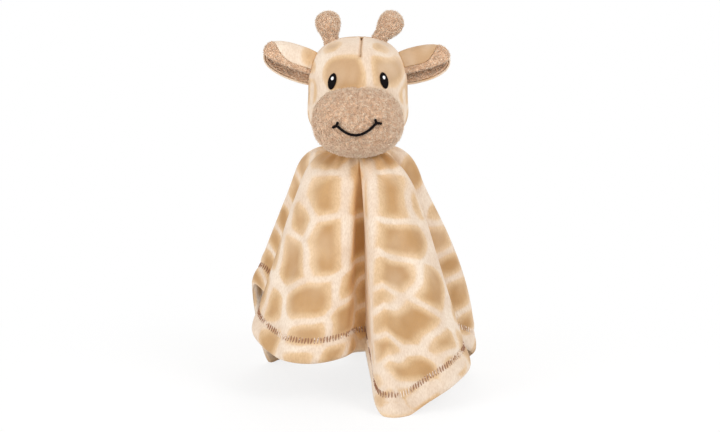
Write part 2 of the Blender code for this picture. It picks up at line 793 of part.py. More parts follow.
def ear_rows(side):
    """Rows of points of the ear's rolled leaf, from its root to its tip, each from its
    lower edge round the back and over the top to the edge of its upper lip."""
    axis_point, along, outward = ear_axis(side)
    droop = Matrix.Rotation(math.radians(SIDES[side] * EAR_DROOP_DEG[side]), 3, "Y")
    outwards = droop @ outward
    front = Vector((0, -1, 0))
    rows = []
    for length_share, height_share in EAR_OUTLINE_SHARES:
        out = length_share * EAR_LENGTH
        half = height_share * EAR_ROOT_HEIGHT / 2
        row = [ear_point(out, half, height_share, step) for step in range(EAR_STEPS_AROUND + 1)]
        rows.append([axis_point + outwards * out + along * up + front * fore
                     for out, up, fore in row])
    return rows


def drawn_in(points, first_setback, last_setback):
    """A run of points or rows with its two ends drawn in along their last stretches."""

    def drawn(end, inner, setback):
        share = setback / (inner - end).length
        return end.lerp(inner, min(share, EDGE_LIMIT_SHARE))

    points = list(points)
    points[0] = drawn(points[0], points[1], first_setback)
    points[-1] = drawn(points[-1], points[-2], last_setback)
    return points


def leaf_mesh(rows, name, mirrored):
    """An open sheet of triangles through rows of points, with its back facing out."""
    bm = bmesh.new()
    grid = [[bm.verts.new(place) for place in row] for row in rows]
    for one, two in zip(grid, grid[1:]):
        for step in range(EAR_STEPS_AROUND):
            corners = [one[step], two[step], two[step + 1], one[step + 1]]
            first, second = corners[:3], [corners[0], corners[2], corners[3]]
            for face in (first, second):
                bm.faces.new(face[::-1] if mirrored else face)
    return mesh_from(bm, name)


def ear_point(out, half, height_share, step):
    """A point of the roll's section: out from the root, up, and towards the front."""
    opened = ease(out / EAR_PINCH_LENGTH)
    depth = EAR_ROOT_DEPTH + (EAR_CUP_DEPTH - EAR_ROOT_DEPTH) * opened
    depth *= height_share ** 0.5
    curl = EAR_LOWER_CURL_DEG + EAR_UPPER_CURL_DEG
    angle = math.radians(curl * step / EAR_STEPS_AROUND - EAR_LOWER_CURL_DEG)
    setback = EAR_LIP_SETBACK * (1 - opened) * max(0, -math.cos(angle))
    return (out + setback, half * math.sin(angle), depth * (EAR_HINGE_SHARE - math.cos(angle)))


def make_ear(side, empty):
    axis_point, along, outward = ear_axis(side)
    rows = ear_rows(side)
    mirrored = side == "right"
    cover = add_part(f"ear_{side}_outer", leaf_mesh(rows, f"ear_{side}_outer", mirrored),
                     CREAM, 0.9, empty)
    solidify(cover, EAR_COVER_THICK, 1 + EAR_LAYER_GAP / EAR_COVER_THICK)
    bead = turned("bead", [(0, EAR_ROOT_HEIGHT / 2), (EAR_BEAD_RADIUS, EAR_ROOT_HEIGHT / 2),
                           (EAR_BEAD_RADIUS, -EAR_ROOT_HEIGHT / 2), (0, -EAR_ROOT_HEIGHT / 2)])
    frame = Matrix.Translation(axis_point) @ along.to_track_quat("Z", "Y").to_matrix().to_4x4()
    cut(cover, add_cutter(f"ear_{side}_bead", moved(bead, frame), empty), "UNION")
    columns = [drawn_in(column, EAR_BEAD_RADIUS + GAP, EAR_LINING_SETBACK) for column in zip(*rows)]
    rows = [drawn_in(row, EAR_LINING_SETBACK, EAR_LINING_SETBACK) for row in zip(*columns)]
    lining = add_part(f"ear_{side}_lining", leaf_mesh(rows, f"ear_{side}_lining", mirrored),
                      TAN_FLEECE, 0.95, empty)
    solidify(lining, EAR_LINING_THICK, -1 - EAR_LAYER_GAP / EAR_LINING_THICK)


def ossicone_frame(side):
    """The ossicone's root, a ball radius' share over the seam, and its own upright."""
    place, along, outward = seam_place(side, OSSICONE_SEAM_DEG[side])
    lean = math.radians(SIDES[side] * OSSICONE_LEAN_DEG[side])
    upright = Vector((math.sin(lean), 0, math.cos(lean)))
    return place + outward * GAP, along, upright


def ossicone_socket(side, empty):
    name = f"ossicone_{side}_socket"
    found = bpy.data.objects.get(name)
    if found:
        return found
    root, along, upright = ossicone_frame(side)
    ball = turned(name, arc(OSSICONE_ROOT_RADIUS + GAP, 0, 180, BALL_STEPS))
    return add_cutter(name, moved(ball, Matrix.Translation(root)), empty)


def ossicone_outline(side, inset):
    """The knob's outline from its top down to its round root, drawn in by an inset."""
    length = OSSICONE_LENGTH[side] - inset
    root = OSSICONE_ROOT_RADIUS - inset
    knob = [(radius * (OSSICONE_KNOB_RADIUS - inset), height * length)
            for height, radius in reversed(OSSICONE_OUTLINE_SHARES)]
    mouth = math.degrees(math.asin(OSSICONE_MOUTH_RADIUS / root))
    return knob + arc(root, OSSICONE_WAIST_DEG, 180 - mouth, ROOT_STEPS)


def make_ossicone(side, empty):
    root, along, upright = ossicone_frame(side)
    frame = Matrix.Translation(root) @ upright.to_track_quat("Z", "Y").to_matrix().to_4x4()
    outer = ossicone_outline(side, 0)
    inner = ossicone_outline(side, OSSICONE_COVER_THICK)
    cover = turned(f"ossicone_{side}_cover", outer + inner[::-1])
    add_part(f"ossicone_{side}_cover", moved(cover, frame), TAN_FLEECE, 0.95, empty)
    core = ossicone_outline(side, OSSICONE_COVER_THICK + GAP)
    core.append((0, core[-1][1]))
    core = turned(f"ossicone_{side}_stuffing", core)
    add_part(f"ossicone_{side}_stuffing", moved(core, frame), STUFFING_WHITE, 0.95, empty)


def centre_over_origin(root, outer):
    """Moves the whole toy so that the middle of the blanket's outline is over the origin."""
    graph = bpy.context.evaluated_depsgraph_get()
    graph.update()
    mesh = outer.evaluated_get(graph).to_mesh()
    across = [vert.co.x for vert in mesh.vertices]
    behind = [vert.co.y for vert in mesh.vertices]
    root.location = (-(min(across) + max(across)) / 2, -(min(behind) + max(behind)) / 2, 0)


def build():
    global parts, cutters
    clear_scene()
    parts = new_collection("comfort_blanket_lovey")
    cutters = new_collection("cutters")
    root = new_empty("blanket_body", (0, 0, 0))
    neck = new_empty("neck_turn_axis", (0, 0, NECK_FLANGE_BOTTOM), root)
    head = new_empty("head_nod_axis", NECK_PIVOT, neck)
    outer = make_blanket(root)
    make_hem_band(root)
    make_neck(root, neck, head)
    make_head(head)
    head_room = make_muzzle(head)
    make_smile(head)
    for side in SIDES:
        make_eye(side, head_room, head)
        make_ear(side, new_empty(f"ear_{side}_root", ear_axis(side)[0], head))
        make_ossicone(side, new_empty(f"ossicone_{side}_root", ossicone_frame(side)[0], head))
    centre_over_origin(root, outer)


build()
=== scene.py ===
# %% [markdown]
# # A comfort blanket lovey with a giraffe's head
# A comfort blanket is a small square of two soft layers with a stuffed head sewn on its
# middle. Held up by the head, the square falls into deep folds and its four corners
# point down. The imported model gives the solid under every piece, and this notebook
# dresses each one in cloth.

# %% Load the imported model
import json
import math

import bmesh
import bpy
import numpy as np
from mathutils import Matrix, Vector
from mathutils.bvhtree import BVHTree


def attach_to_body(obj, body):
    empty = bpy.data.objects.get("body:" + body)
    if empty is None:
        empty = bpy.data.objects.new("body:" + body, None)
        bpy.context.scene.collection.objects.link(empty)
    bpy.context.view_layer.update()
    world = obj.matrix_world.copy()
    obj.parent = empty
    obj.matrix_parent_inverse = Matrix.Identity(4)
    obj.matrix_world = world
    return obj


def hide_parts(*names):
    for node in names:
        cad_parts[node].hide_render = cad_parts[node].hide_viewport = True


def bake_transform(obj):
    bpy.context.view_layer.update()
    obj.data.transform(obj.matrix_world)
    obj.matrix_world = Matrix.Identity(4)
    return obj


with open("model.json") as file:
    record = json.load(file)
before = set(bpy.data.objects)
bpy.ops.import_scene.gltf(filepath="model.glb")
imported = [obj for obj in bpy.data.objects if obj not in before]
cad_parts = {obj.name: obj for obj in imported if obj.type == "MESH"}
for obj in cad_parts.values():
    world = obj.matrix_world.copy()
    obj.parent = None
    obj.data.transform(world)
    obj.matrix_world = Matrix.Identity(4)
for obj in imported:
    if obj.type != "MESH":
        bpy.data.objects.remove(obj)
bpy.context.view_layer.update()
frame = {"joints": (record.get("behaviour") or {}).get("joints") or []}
MM = 0.001
joints = {joint["name"]: joint for joint in frame["joints"]}
neck_pivot = Vector(joints["head_nod"]["pos_m"])
neck_seam = Vector(joints["head_turn"]["pos_m"])
axis_shift = Vector((neck_seam.x, neck_seam.y, 0))

# %% [markdown]
# ## The camera
# The photograph looks a little down on the toy from a long way off, so its sides hardly
# converge. A long lens, 1.3 m away and 9 degrees up, gives the same view.

# %% Camera
CAMERA_DISTANCE = 1300 * MM
CAMERA_RISE_DEG = 9
LENS_PER_WIDTH = 1529 / 720
camera_target = axis_shift + Vector((1.7, 0, 145.7)) * MM
rise = math.radians(CAMERA_RISE_DEG)
camera_data = bpy.data.cameras.new("photo_camera")
camera_data.sensor_width = 36
camera_data.lens = 36 * LENS_PER_WIDTH
camera = bpy.data.objects.new("photo_camera", camera_data)
camera.location = camera_target + Vector((0, -math.cos(rise), math.sin(rise))) * CAMERA_DISTANCE
camera.rotation_euler = (math.pi / 2 - rise, 0, 0)
bpy.context.scene.collection.objects.link(camera)
bpy.context.scene.camera = camera
bpy.context.scene.view_settings.view_transform = "Standard"
print("camera at", camera.location, "with a lens of", round(camera_data.lens, 1), "mm")

# %% Sight lines
PHOTO_WIDTH, PHOTO_HEIGHT = 720, 432


def sight_line(pixel):
    """The direction from the camera through a pixel of the photograph."""
    across = (pixel[0] - PHOTO_WIDTH / 2) / PHOTO_WIDTH
    down = (pixel[1] - PHOTO_HEIGHT / 2) / PHOTO_WIDTH
    ray = Vector((across, -down, -LENS_PER_WIDTH))
    ray.rotate(camera.rotation_euler)
    return ray.normalized()


def seen_at(tree, pixels):
    """Where the sight lines through some pixels first meet a surface, and on which face."""
    found = []
    for pixel in pixels:
        place, normal, face, distance = tree.ray_cast(camera.location, sight_line(pixel))
        if place is not None:
            found.append((place, face))
    return found


print("the middle of the photograph looks along", sight_line((360, 216)))

# %% [markdown]
# ## The studio
# A pale floor and a white world make the plain setting. Three large soft lamps shape
# the folds: a key from the upper right, a weaker fill from the left and a rim from
# behind. The world looks white to the camera, but lights the toy less than that.

# %% Lamps, world and floor
def set_socket(tree, socket, value):
    """Links a node's input to another node's output, or sets its value."""
    if isinstance(value, bpy.types.NodeSocket):
        tree.links.new(value, socket)
    else:
        socket.default_value = value


def add_node(tree, kind, inputs, **settings):
    """A new node with its settings, its inputs linked or set by name or number."""
    node = tree.nodes.new(kind)
    for name, value in settings.items():
        setattr(node, name, value)
    for name, value in inputs.items():
        set_socket(tree, node.inputs[name], value)
    return node


def soft_lamp(name, place, aim, width, power):
    data = bpy.data.lights.new(name, "AREA")
    data.shape = "DISK"
    data.size = width
    data.energy = power
    lamp = bpy.data.objects.new(name, data)
    lamp.location = place
    lamp.rotation_euler = (Vector(aim) - Vector(place)).to_track_quat("-Z", "Y").to_euler()
    bpy.context.scene.collection.objects.link(lamp)
    return lamp


def straight_rays(tree):
    """1 for rays that show a surface to the camera, also in a glint or through a clear part."""
    path = tree.nodes.new("ShaderNodeLightPath").outputs
    seen = path["Is Camera Ray"]
    for kind in ("Is Glossy Ray", "Is Transmission Ray"):
        seen = add_node(tree, "ShaderNodeMath", {0: seen, 1: path[kind]}, operation="MAXIMUM").outputs[0]
    return seen


def white_to_camera(world, strength):
    world.use_nodes = True
    tree = world.node_tree
    tree.nodes.clear()
    lit, seen = (add_node(tree, "ShaderNodeBackground", {"Color": colour, "Strength": power})
                 for colour, power in (((1.0, 0.985, 0.97, 1), strength), ((1, 1, 1, 1), 1.0)))
    mix = add_node(tree, "ShaderNodeMixShader", {"Fac": straight_rays(tree), 1: lit.outputs["Background"],
                                                 2: seen.outputs["Background"]})
    add_node(tree, "ShaderNodeOutputWorld", {"Surface": mix.outputs["Shader"]})


def floor_material():
    """Matt white that takes the toy's shadow, and fades to pure white away from it."""
    material = bpy.data.materials.new("studio_floor")
    material.use_nodes = True
    tree = material.node_tree
    matt = tree.nodes["Principled BSDF"]
    matt.inputs["Base Color"].default_value = (0.97, 0.97, 0.97, 1)
    matt.inputs["Roughness"].default_value = 0.9
    matt.inputs["Specular IOR Level"].default_value = 0.1
    white = add_node(tree, "ShaderNodeEmission", {"Color": (1, 1, 1, 1)})
    place = tree.nodes.new("ShaderNodeTexCoord")
    away = add_node(tree, "ShaderNodeVectorMath", {0: place.outputs["Object"]}, operation="LENGTH")
    fade = add_node(tree, "ShaderNodeMapRange", {"Value": away.outputs["Value"], "From Min": 0.12,
                                                 "From Max": 0.42, "To Min": 0.8},
                    interpolation_type="SMOOTHSTEP")
    share = add_node(tree, "ShaderNodeMath", {0: fade.outputs["Result"], 1: straight_rays(tree)},
                     operation="MULTIPLY")
    mix = add_node(tree, "ShaderNodeMixShader", {"Fac": share.outputs["Value"], 1: matt.outputs["BSDF"],
                                                 2: white.outputs["Emission"]})
    tree.links.new(mix.outputs["Shader"], tree.nodes["Material Output"].inputs["Surface"])
    return material


def plain_floor(size):
    mesh = bpy.data.meshes.new("studio_floor")
    half = size / 2
    mesh.from_pydata([(-half, -half, 0), (half, -half, 0), (half, half, 0), (-half, half, 0)],
                     [], [(0, 1, 2, 3)])
    floor = bpy.data.objects.new("studio_floor", mesh)
    bpy.context.scene.collection.objects.link(floor)
    mesh.materials.append(floor_material())
    return floor


toy_middle = axis_shift + Vector((0, 0, 170)) * MM
soft_lamp("key_lamp", (0.95, -0.95, 1.05), toy_middle, 0.9, 11.4)
soft_lamp("fill_lamp", (-1.1, -0.9, 0.6), toy_middle, 1.0, 9.6)
soft_lamp("back_lamp", (0.2, 1.2, 1.1), toy_middle, 1.0, 6)
world = bpy.data.worlds.new("studio_world")
bpy.context.scene.world = world
white_to_camera(world, 0.60)
plain_floor(6)

# %% [markdown]
# ## Small tools for meshes
# Most of the toy's forms are sheets of points in rows, so one helper joins rows into
# faces and another makes the object. Numpy keeps the arrays, because the blanket alone
# has tens of thousands of points.

# %% Mesh helpers
def new_piece(name, points, faces, material=None):
    """An object at the origin whose mesh holds the given points and faces."""
    mesh = bpy.data.meshes.new(name)
    mesh.from_pydata([tuple(point) for point in points], [], [tuple(face) for face in faces])
    mesh.validate()
    piece = bpy.data.objects.new(name, mesh)
    bpy.context.scene.collection.objects.link(piece)
    if material is not None:
        mesh.materials.append(material)
    mesh.shade_smooth()
    return piece


def row_faces(rows, columns, first=0, closed=True):
    """Quads between neighbouring rows of points, round a closed or along an open row."""
    last = columns if closed else columns - 1
    faces = []
    for row in range(rows - 1):
        upper, lower = first + row * columns, first + (row + 1) * columns
        for column in range(last):
            after = (column + 1) % columns
            faces.append((upper + column, lower + column, lower + after, upper + after))
    return faces


def turn_outwards(piece):
    """Merges doubles and points every face of a closed shell outwards."""
    work = bmesh.new()
    work.from_mesh(piece.data)
    bmesh.ops.remove_doubles(work, verts=work.verts, dist=1e-6)
    bmesh.ops.recalc_face_normals(work, faces=work.faces)
    work.to_mesh(piece.data)
    work.free()
    return piece


def smooth_step(low, high, value):
    share = np.clip((value - low) / (high - low), 0, 1)
    return share * share * (3 - 2 * share)


def bake_modifiers(piece):
    """Replaces a piece's mesh by what its modifiers make of it, and removes them."""
    graph = bpy.context.evaluated_depsgraph_get()
    graph.update()
    mesh = bpy.data.meshes.new_from_object(piece.evaluated_get(graph))
    piece.modifiers.clear()
    piece.data = mesh
    mesh.name = piece.name
    mesh.shade_smooth()
    return piece


print("mesh helpers are ready")

# %% [markdown]
# ## The giraffe print
# The velour is printed with tan patches between cream lines. Each patch has a short
# spine and a radius, and owns the ground that is nearer to its edge than to any other's.
# The second nearest distance less the nearest is zero on the border between two patches
# and grows inwards, and its contours round the corners off as the print does. Each piece
# keeps that number for every point as an attribute, and the material turns it into cream
# and tan, with fine noise along the border.

# %% Patch numbers
LINE_HALF, PATCH_SLACK = 2.7 * MM, 3.0 * MM


def edge_distance(points, spine):
    """How far each point lies outside a spine's rounded outline, less than zero inside."""
    start, end = (np.asarray(place, dtype=float) for place in spine[:2])
    along = end - start
    share = np.clip((points - start) @ along / max(along @ along, 1e-12), 0, 1)
    return np.linalg.norm(points - start - share[:, None] * along, axis=1) - spine[2]


def patch_field(points, patches, bare=()):
    """The second nearest distance to a patch's edge less the nearest, for each point, and
    never more than ground that far from the nearest edge can have. Bare spines stay cream."""
    nearest = np.full(len(points), 1e3)
    second = np.full(len(points), 1e3)
    for spine in patches:
        distance = edge_distance(points, spine)
        second = np.minimum(second, np.maximum(nearest, distance))
        nearest = np.minimum(nearest, distance)
    field = np.minimum(second - nearest, LINE_HALF * 2 + 2 * (PATCH_SLACK - nearest))
    for spine in bare:
        field = np.minimum(field, LINE_HALF * 2 + 2 * edge_distance(points, spine))
    return field


def keep_patch_field(piece, field):
    attribute = piece.data.attributes.new("patch_field", "FLOAT", "POINT")
    attribute.data.foreach_set("value", np.asarray(field, dtype=np.float32))


def scattered_centres(half, spacing, jitter, seed):
    """Patch centres on a shifted grid over a square, each moved a little at random."""
    random = np.random.default_rng(seed)
    centres = []
    row_gap = spacing * math.sqrt(3) / 2
    for row, y in enumerate(np.arange(-half, half + row_gap, row_gap)):
        for x in np.arange(-half, half + spacing, spacing) + (row % 2) * spacing / 2:
            centres.append(np.array([x, y]) + random.uniform(-jitter, jitter, 2))
    return np.array(centres)


two_patches = [((-1, 0), (-1, 0), 0), ((1, 0), (1, 0), 0)]
print("a patch border is", patch_field(np.zeros((1, 2)), two_patches)[0])

# %% [markdown]
# ## Cloth materials
# Velour is short dense pile: matt, with a pale sheen where the surface turns away. A
# bump from fine noise gives the nap, and a slower noise shades it where a hand has
# brushed it. Fleece has longer, curlier pile, so its bump is coarser and its colour
# breaks into small tufts.

# %% Material helpers
def srgb(red, green, blue):
    """A colour as a screen shows it, 0 to 255, as the linear colour that shaders take."""
    linear = []
    for value in (red, green, blue):
        share = value / 255
        linear.append(share / 12.92 if share <= 0.04045 else ((share + 0.055) / 1.055) ** 2.4)
    return (*linear, 1.0)


class Shading:
    """A new material's node tree, with short ways to add its nodes."""

    def __init__(self, name, roughness, sheen, sheen_tint):
        self.material = bpy.data.materials.new(name)
        self.material.use_nodes = True
        self.tree = self.material.node_tree
        self.surface = self.tree.nodes["Principled BSDF"]
        for label, value in (("Roughness", roughness), ("Specular IOR Level", 0.15),
                             ("Sheen Weight", sheen), ("Sheen Roughness", 0.5), ("Sheen Tint", sheen_tint)):
            self.surface.inputs[label].default_value = value
        self.place = self.tree.nodes.new("ShaderNodeTexCoord").outputs["Object"]

    def add(self, kind, inputs, output, **settings):
        """One output of a new node."""
        return add_node(self.tree, kind, inputs, **settings).outputs[output]

    def noise(self, per_metre, detail=2.0, stretch=None):
        place = self.place
        if stretch is not None:
            place = self.add("ShaderNodeMapping", {"Vector": place, "Scale": stretch}, "Vector")
        return self.add("ShaderNodeTexNoise", {"Vector": place, "Scale": per_metre, "Detail": detail}, "Fac")

    def cells(self, per_metre):
        return self.add("ShaderNodeTexVoronoi", {"Vector": self.place, "Scale": per_metre}, "Distance")

    def sum(self, first, second, weight):
        """first + second * weight, as one node."""
        return self.add("ShaderNodeMath", {0: second, 1: weight, 2: first}, 0, operation="MULTIPLY_ADD")

    def span(self, value, low, high, to_low=0.0, to_high=1.0, smooth=True):
        inputs = {"Value": value, "From Min": low, "From Max": high, "To Min": to_low, "To Max": to_high}
        return self.add("ShaderNodeMapRange", inputs, "Result",
                        interpolation_type="SMOOTHSTEP" if smooth else "LINEAR")

    def blend(self, share, first, second, how="MIX"):
        """A colour between two colours or colour outputs, or their product."""
        node = add_node(self.tree, "ShaderNodeMix", {"Factor": share}, data_type="RGBA", blend_type=how)
        sockets = [item for item in node.inputs if item.type == "RGBA"]
        for socket, colour in zip(sockets, (first, second)):
            set_socket(self.tree, socket, colour)
        return [item for item in node.outputs if item.type == "RGBA"][0]

    def closeness(self, reach):
        """How much nearby cloth shuts the light out, 0 in the open and 1 in a deep fold."""
        openness = self.add("ShaderNodeAmbientOcclusion", {"Distance": reach}, "AO", samples=6)
        return self.span(openness, 0.25, 0.8, 1.0, 0.0)

    def warmed(self, colour):
        """A colour as it looks by the light that only comes off more cloth of that colour."""
        return self.blend(1.0, colour, srgb(255, 236, 200), "MULTIPLY")

    def attribute(self, name):
        return self.add("ShaderNodeAttribute", {}, "Fac", attribute_name=name)

    def colour(self, output):
        self.tree.links.new(output, self.surface.inputs["Base Color"])

    def bump(self, height, distance, strength=1.0):
        inputs = {"Height": height, "Distance": distance, "Strength": strength}
        self.tree.links.new(self.add("ShaderNodeBump", inputs, "Normal"), self.surface.inputs["Normal"])


CREAM = srgb(234, 219, 202)
CREAM_SHADE = srgb(224, 204, 184)
PATCH_TAN = srgb(194, 155, 109)
PATCH_DEEP = srgb(182, 141, 94)
PATCH_EDGE = srgb(222, 192, 155)
FLEECE = srgb(246, 216, 188)
FLEECE_DEEP = srgb(206, 168, 136)
PATCH_SHEEN_TAN, BRUSHED, CRUSHED = srgb(188, 155, 121), srgb(242, 225, 205), srgb(180, 138, 94)
GRAIN = srgb(178, 142, 104)
VELOUR_SHEEN, FLEECE_SHEEN = (1.0, 0.95, 0.88, 1), (1.0, 0.88, 0.76, 1)
print("cream", [round(value, 2) for value in CREAM[:3]],
      "tan", [round(value, 2) for value in PATCH_TAN[:3]])

# %% Velour and fleece
def nap_bump(velour):
    """The short pile's bump, finer than a patch's edge."""
    height = velour.sum(velour.noise(1400, 2.0), velour.noise(260, 2.0), 1.2)
    velour.bump(height, 0.35 * MM, 0.8)


def printed_velour(name, softness=2.6 * MM, wobble=2.6 * MM, brushing=0.22, middle_sheen=0.0):
    """Cream velour with soft tan patches where the patch number is high."""
    velour = Shading(name, 0.85, 0.25, VELOUR_SHEEN)
    field = velour.attribute("patch_field")
    field = velour.sum(field, velour.noise(95, 2.0), wobble)
    field = velour.sum(field, velour.noise(620, 2.0), wobble / 3)
    border = 2 * LINE_HALF + wobble * 0.66 - softness / 2
    edge = velour.span(field, border - softness, border + softness)
    core = velour.span(field, border, border + 5 * softness)
    nap = velour.span(velour.noise(42, 3.0), 0.35, 0.7)
    ground = velour.blend(nap, CREAM_SHADE, CREAM)
    patch = velour.blend(core, PATCH_EDGE, velour.blend(nap, PATCH_DEEP, PATCH_TAN))
    # Painted sheen: the middle of each patch is blended towards a paler, pinker tan.
    middle = velour.span(field, border + 2 * softness, border + 5 * softness, 0, middle_sheen)
    patch = velour.blend(middle, patch, PATCH_SHEEN_TAN)
    colour = velour.blend(edge, ground, patch)
    grain = velour.span(velour.noise(900, 2.0, stretch=(1, 1, 0.35)), 0.3, 0.75, 0.0, 0.35)
    colour = velour.blend(grain, colour, GRAIN)
    brushed = velour.span(velour.noise(34, 2.0, stretch=(1, 1, 0.6)), 0.42, 0.8, 0.0, brushing)
    colour = velour.blend(brushed, colour, BRUSHED)
    crushed = velour.span(velour.noise(52, 3.0), 0.5, 0.85, 0.0, 0.3)
    colour = velour.blend(crushed, colour, CRUSHED)
    colour = velour.blend(velour.closeness(26 * MM), colour, velour.warmed(colour))
    velour.colour(velour.blend(velour.span(edge, 0, 1, 0.75, 1.0, False), ground, colour))
    nap_bump(velour)
    return velour.material


def plain_velour(name, pale, deep):
    velour = Shading(name, 0.85, 0.25, VELOUR_SHEEN)
    velour.colour(velour.blend(velour.span(velour.noise(60, 3.0), 0.35, 0.7), deep, pale))
    nap_bump(velour)
    return velour.material


def curly_fleece(name, pale, deep):
    fleece = Shading(name, 0.9, 0.15, FLEECE_SHEEN)
    tufts = fleece.sum(fleece.cells(520), fleece.noise(800, 3.0), 0.8)
    shade = fleece.span(tufts, 0.35, 1.0)
    fleece.colour(fleece.blend(shade, pale, deep))
    fleece.bump(tufts, 0.7 * MM, 0.8)
    return fleece.material


def sewing_thread(name, colour, deep):
    thread = Shading(name, 0.8, 0.0, (1, 1, 1, 1))
    thread.surface.inputs["Specular IOR Level"].default_value = 0.05
    thread.colour(thread.blend(thread.span(thread.noise(2500, 2.0), 0.3, 0.7), deep, colour))
    thread.bump(thread.noise(4000, 1.0), 0.1 * MM, 0.5)
    return thread.material


def lit_thread(name, colour, bright):
    """Glossy thread with painted highlights: its colour is bright on some stretches and brown on others."""
    thread = Shading(name, 0.4, 0.1, (1, 1, 1, 1))
    glint = thread.sum(thread.noise(70, 2.0), thread.noise(600, 1.0), 0.45)
    thread.colour(thread.blend(thread.span(glint, 0.66, 0.86), colour, bright))
    thread.bump(thread.noise(4000, 1.0), 0.1 * MM, 0.5)
    return thread.material


blanket_print = printed_velour("printed_velour")
head_print = printed_velour("printed_velour_head", softness=2.8 * MM, wobble=4.0 * MM,
                            brushing=0.35, middle_sheen=0.6)
cream_velour = plain_velour("cream_velour", CREAM, CREAM_SHADE)
tan_fleece = curly_fleece("tan_fleece", FLEECE, FLEECE_DEEP)
hem_thread = lit_thread("hem_thread", srgb(152, 110, 84), srgb(232, 216, 200))
cream_thread = sewing_thread("cream_thread", srgb(244, 228, 205), srgb(222, 200, 172))
black_thread = sewing_thread("black_thread", srgb(26, 21, 22), srgb(10, 8, 9))
white_thread = sewing_thread("white_thread", srgb(255, 255, 255), srgb(240, 240, 240))
print(len(bpy.data.materials), "materials")

# %% [markdown]
# ## The blanket
# The square hangs from a small ring round the neck. Straight fold lines run from that
# ring over a rounded shoulder down to the hem, so the shape is set by where the hem
# goes: out to a corner, in to a valley between two folds, out again. The hem's route
# follows the solid's, with a few folds a little nearer the photograph's and many more
# points between. Each point also keeps its place on the flat square, because the print
# was made on flat cloth.

# %% The hem's route
BLANKET_SIDE = 356 * MM
NECK_RING_RADIUS = 20 * MM
FOOT_CUT = 0.5 * MM
NECK_TOP = 0.574 * BLANKET_SIDE
DRAPE_TOP = NECK_TOP - 1.75 * MM
HEM_ROUTE = (
    ("valley", -0.008, -0.143, 0.112), ("valley", 0.022, -0.124, 0.107),
    ("wall", 0.037, -0.197, 0.051), ("foot", 0.059, -0.286, 0.000),
    ("corner", 0.081, -0.301, 0.000), ("foot", 0.110, -0.289, 0.000),
    ("panel", 0.157, -0.256, 0.022), ("panel", 0.219, -0.208, 0.051),
    ("fold", 0.261, -0.124, 0.079), ("wall", 0.202, -0.084, 0.112),
    ("valley", 0.084, -0.042, 0.152), ("valley", 0.081, -0.014, 0.157),
    ("wall", 0.185, -0.017, 0.118), ("fold", 0.267, 0.022, 0.076),
    ("panel", 0.275, 0.084, 0.042), ("foot", 0.261, 0.143, 0.000),
    ("corner", 0.244, 0.174, 0.000), ("foot", 0.222, 0.199, 0.000),
    ("valley", 0.079, 0.070, 0.140), ("valley", 0.062, 0.084, 0.140),
    ("fold", 0.169, 0.236, 0.112), ("panel", 0.124, 0.270, 0.073),
    ("foot", 0.062, 0.301, 0.000), ("corner", 0.031, 0.312, 0.000),
    ("foot", -0.003, 0.301, 0.000), ("valley", 0.000, 0.104, 0.140),
    ("valley", -0.020, 0.098, 0.140), ("fold", -0.062, 0.278, 0.124),
    ("fold", -0.101, 0.267, 0.124), ("fold", -0.129, 0.247, 0.118),
    ("valley", -0.048, 0.090, 0.140), ("valley", -0.059, 0.081, 0.140),
    ("foot", -0.185, 0.242, 0.000), ("corner", -0.211, 0.222, 0.000),
    ("foot", -0.228, 0.197, 0.000), ("panel", -0.253, 0.135, 0.118),
    ("fold", -0.254, 0.076, 0.229), ("valley", -0.212, 0.011, 0.191),
    ("fold", -0.245, -0.056, 0.149), ("panel", -0.224, -0.126, 0.123),
    ("panel", -0.174, -0.191, 0.106), ("panel", -0.107, -0.219, 0.104),
    ("panel", -0.034, -0.197, 0.112),
)
HEM_STEPS = 12


def spline_point(before, start, end, after, share):
    """A point between start and end of a smooth curve through four points."""
    knots = [0.0]
    for one, two in ((before, start), (start, end), (end, after)):
        knots.append(knots[-1] + (two - one).length ** 0.5)
    at = knots[1] + share * (knots[2] - knots[1])

    def between(one, two, first, last):
        return one.lerp(two, (at - first) / (last - first))

    low = between(before, start, knots[0], knots[1])
    middle = between(start, end, knots[1], knots[2])
    high = between(end, after, knots[2], knots[3])
    return between(between(low, middle, knots[0], knots[2]),
                   between(middle, high, knots[1], knots[3]), knots[1], knots[2])


def hem_points(steps):
    """The hem all round from its first corner, and which of its points are corners."""
    route = [(kind, Vector((right, behind, up)) * BLANKET_SIDE - Vector((0, 0, FOOT_CUT)))
             for kind, right, behind, up in HEM_ROUTE]
    columns = []
    for index, (kind, place) in enumerate(route):
        around = [route[(index + shift) % len(route)][1] for shift in (-1, 0, 1, 2)]
        columns += [(kind if step == 0 else "", spline_point(*around, step / steps))
                    for step in range(steps)]
    first = [kind for kind, place in columns].index("corner")
    columns = columns[first:] + columns[:first]
    corners = [index for index, (kind, place) in enumerate(columns) if kind == "corner"]
    return np.array([tuple(place) for kind, place in columns]), corners


def flat_edge(hem, corners):
    """Where each hem point lies on the edge of the flat square."""
    turn = math.atan2(hem[0, 1], hem[0, 0])
    flat = np.zeros((len(hem), 2))
    for quarter, (start, end) in enumerate(zip(corners, corners[1:] + [len(hem)])):
        run = hem[np.arange(start, end + 1) % len(hem)]
        lengths = np.concatenate([[0], np.cumsum(np.linalg.norm(np.diff(run, axis=0), axis=1))])
        share = (lengths / lengths[-1])[:-1, None]
        angle = turn + quarter * math.pi / 2
        one = np.array([math.cos(angle), math.sin(angle)])
        two = np.array([-one[1], one[0]])
        flat[start:end] = (one * (1 - share) + two * share) * BLANKET_SIDE / math.sqrt(2)
    return flat


hem, hem_corners = hem_points(HEM_STEPS)
hem_flat = flat_edge(hem, hem_corners)
hem_length = np.linalg.norm(np.diff(np.vstack([hem, hem[:1]]), axis=0), axis=1).sum()
print("hem:", len(hem), "points,", round(hem_length / MM), "mm round a square of",
      round(4 * BLANKET_SIDE / MM), "mm")

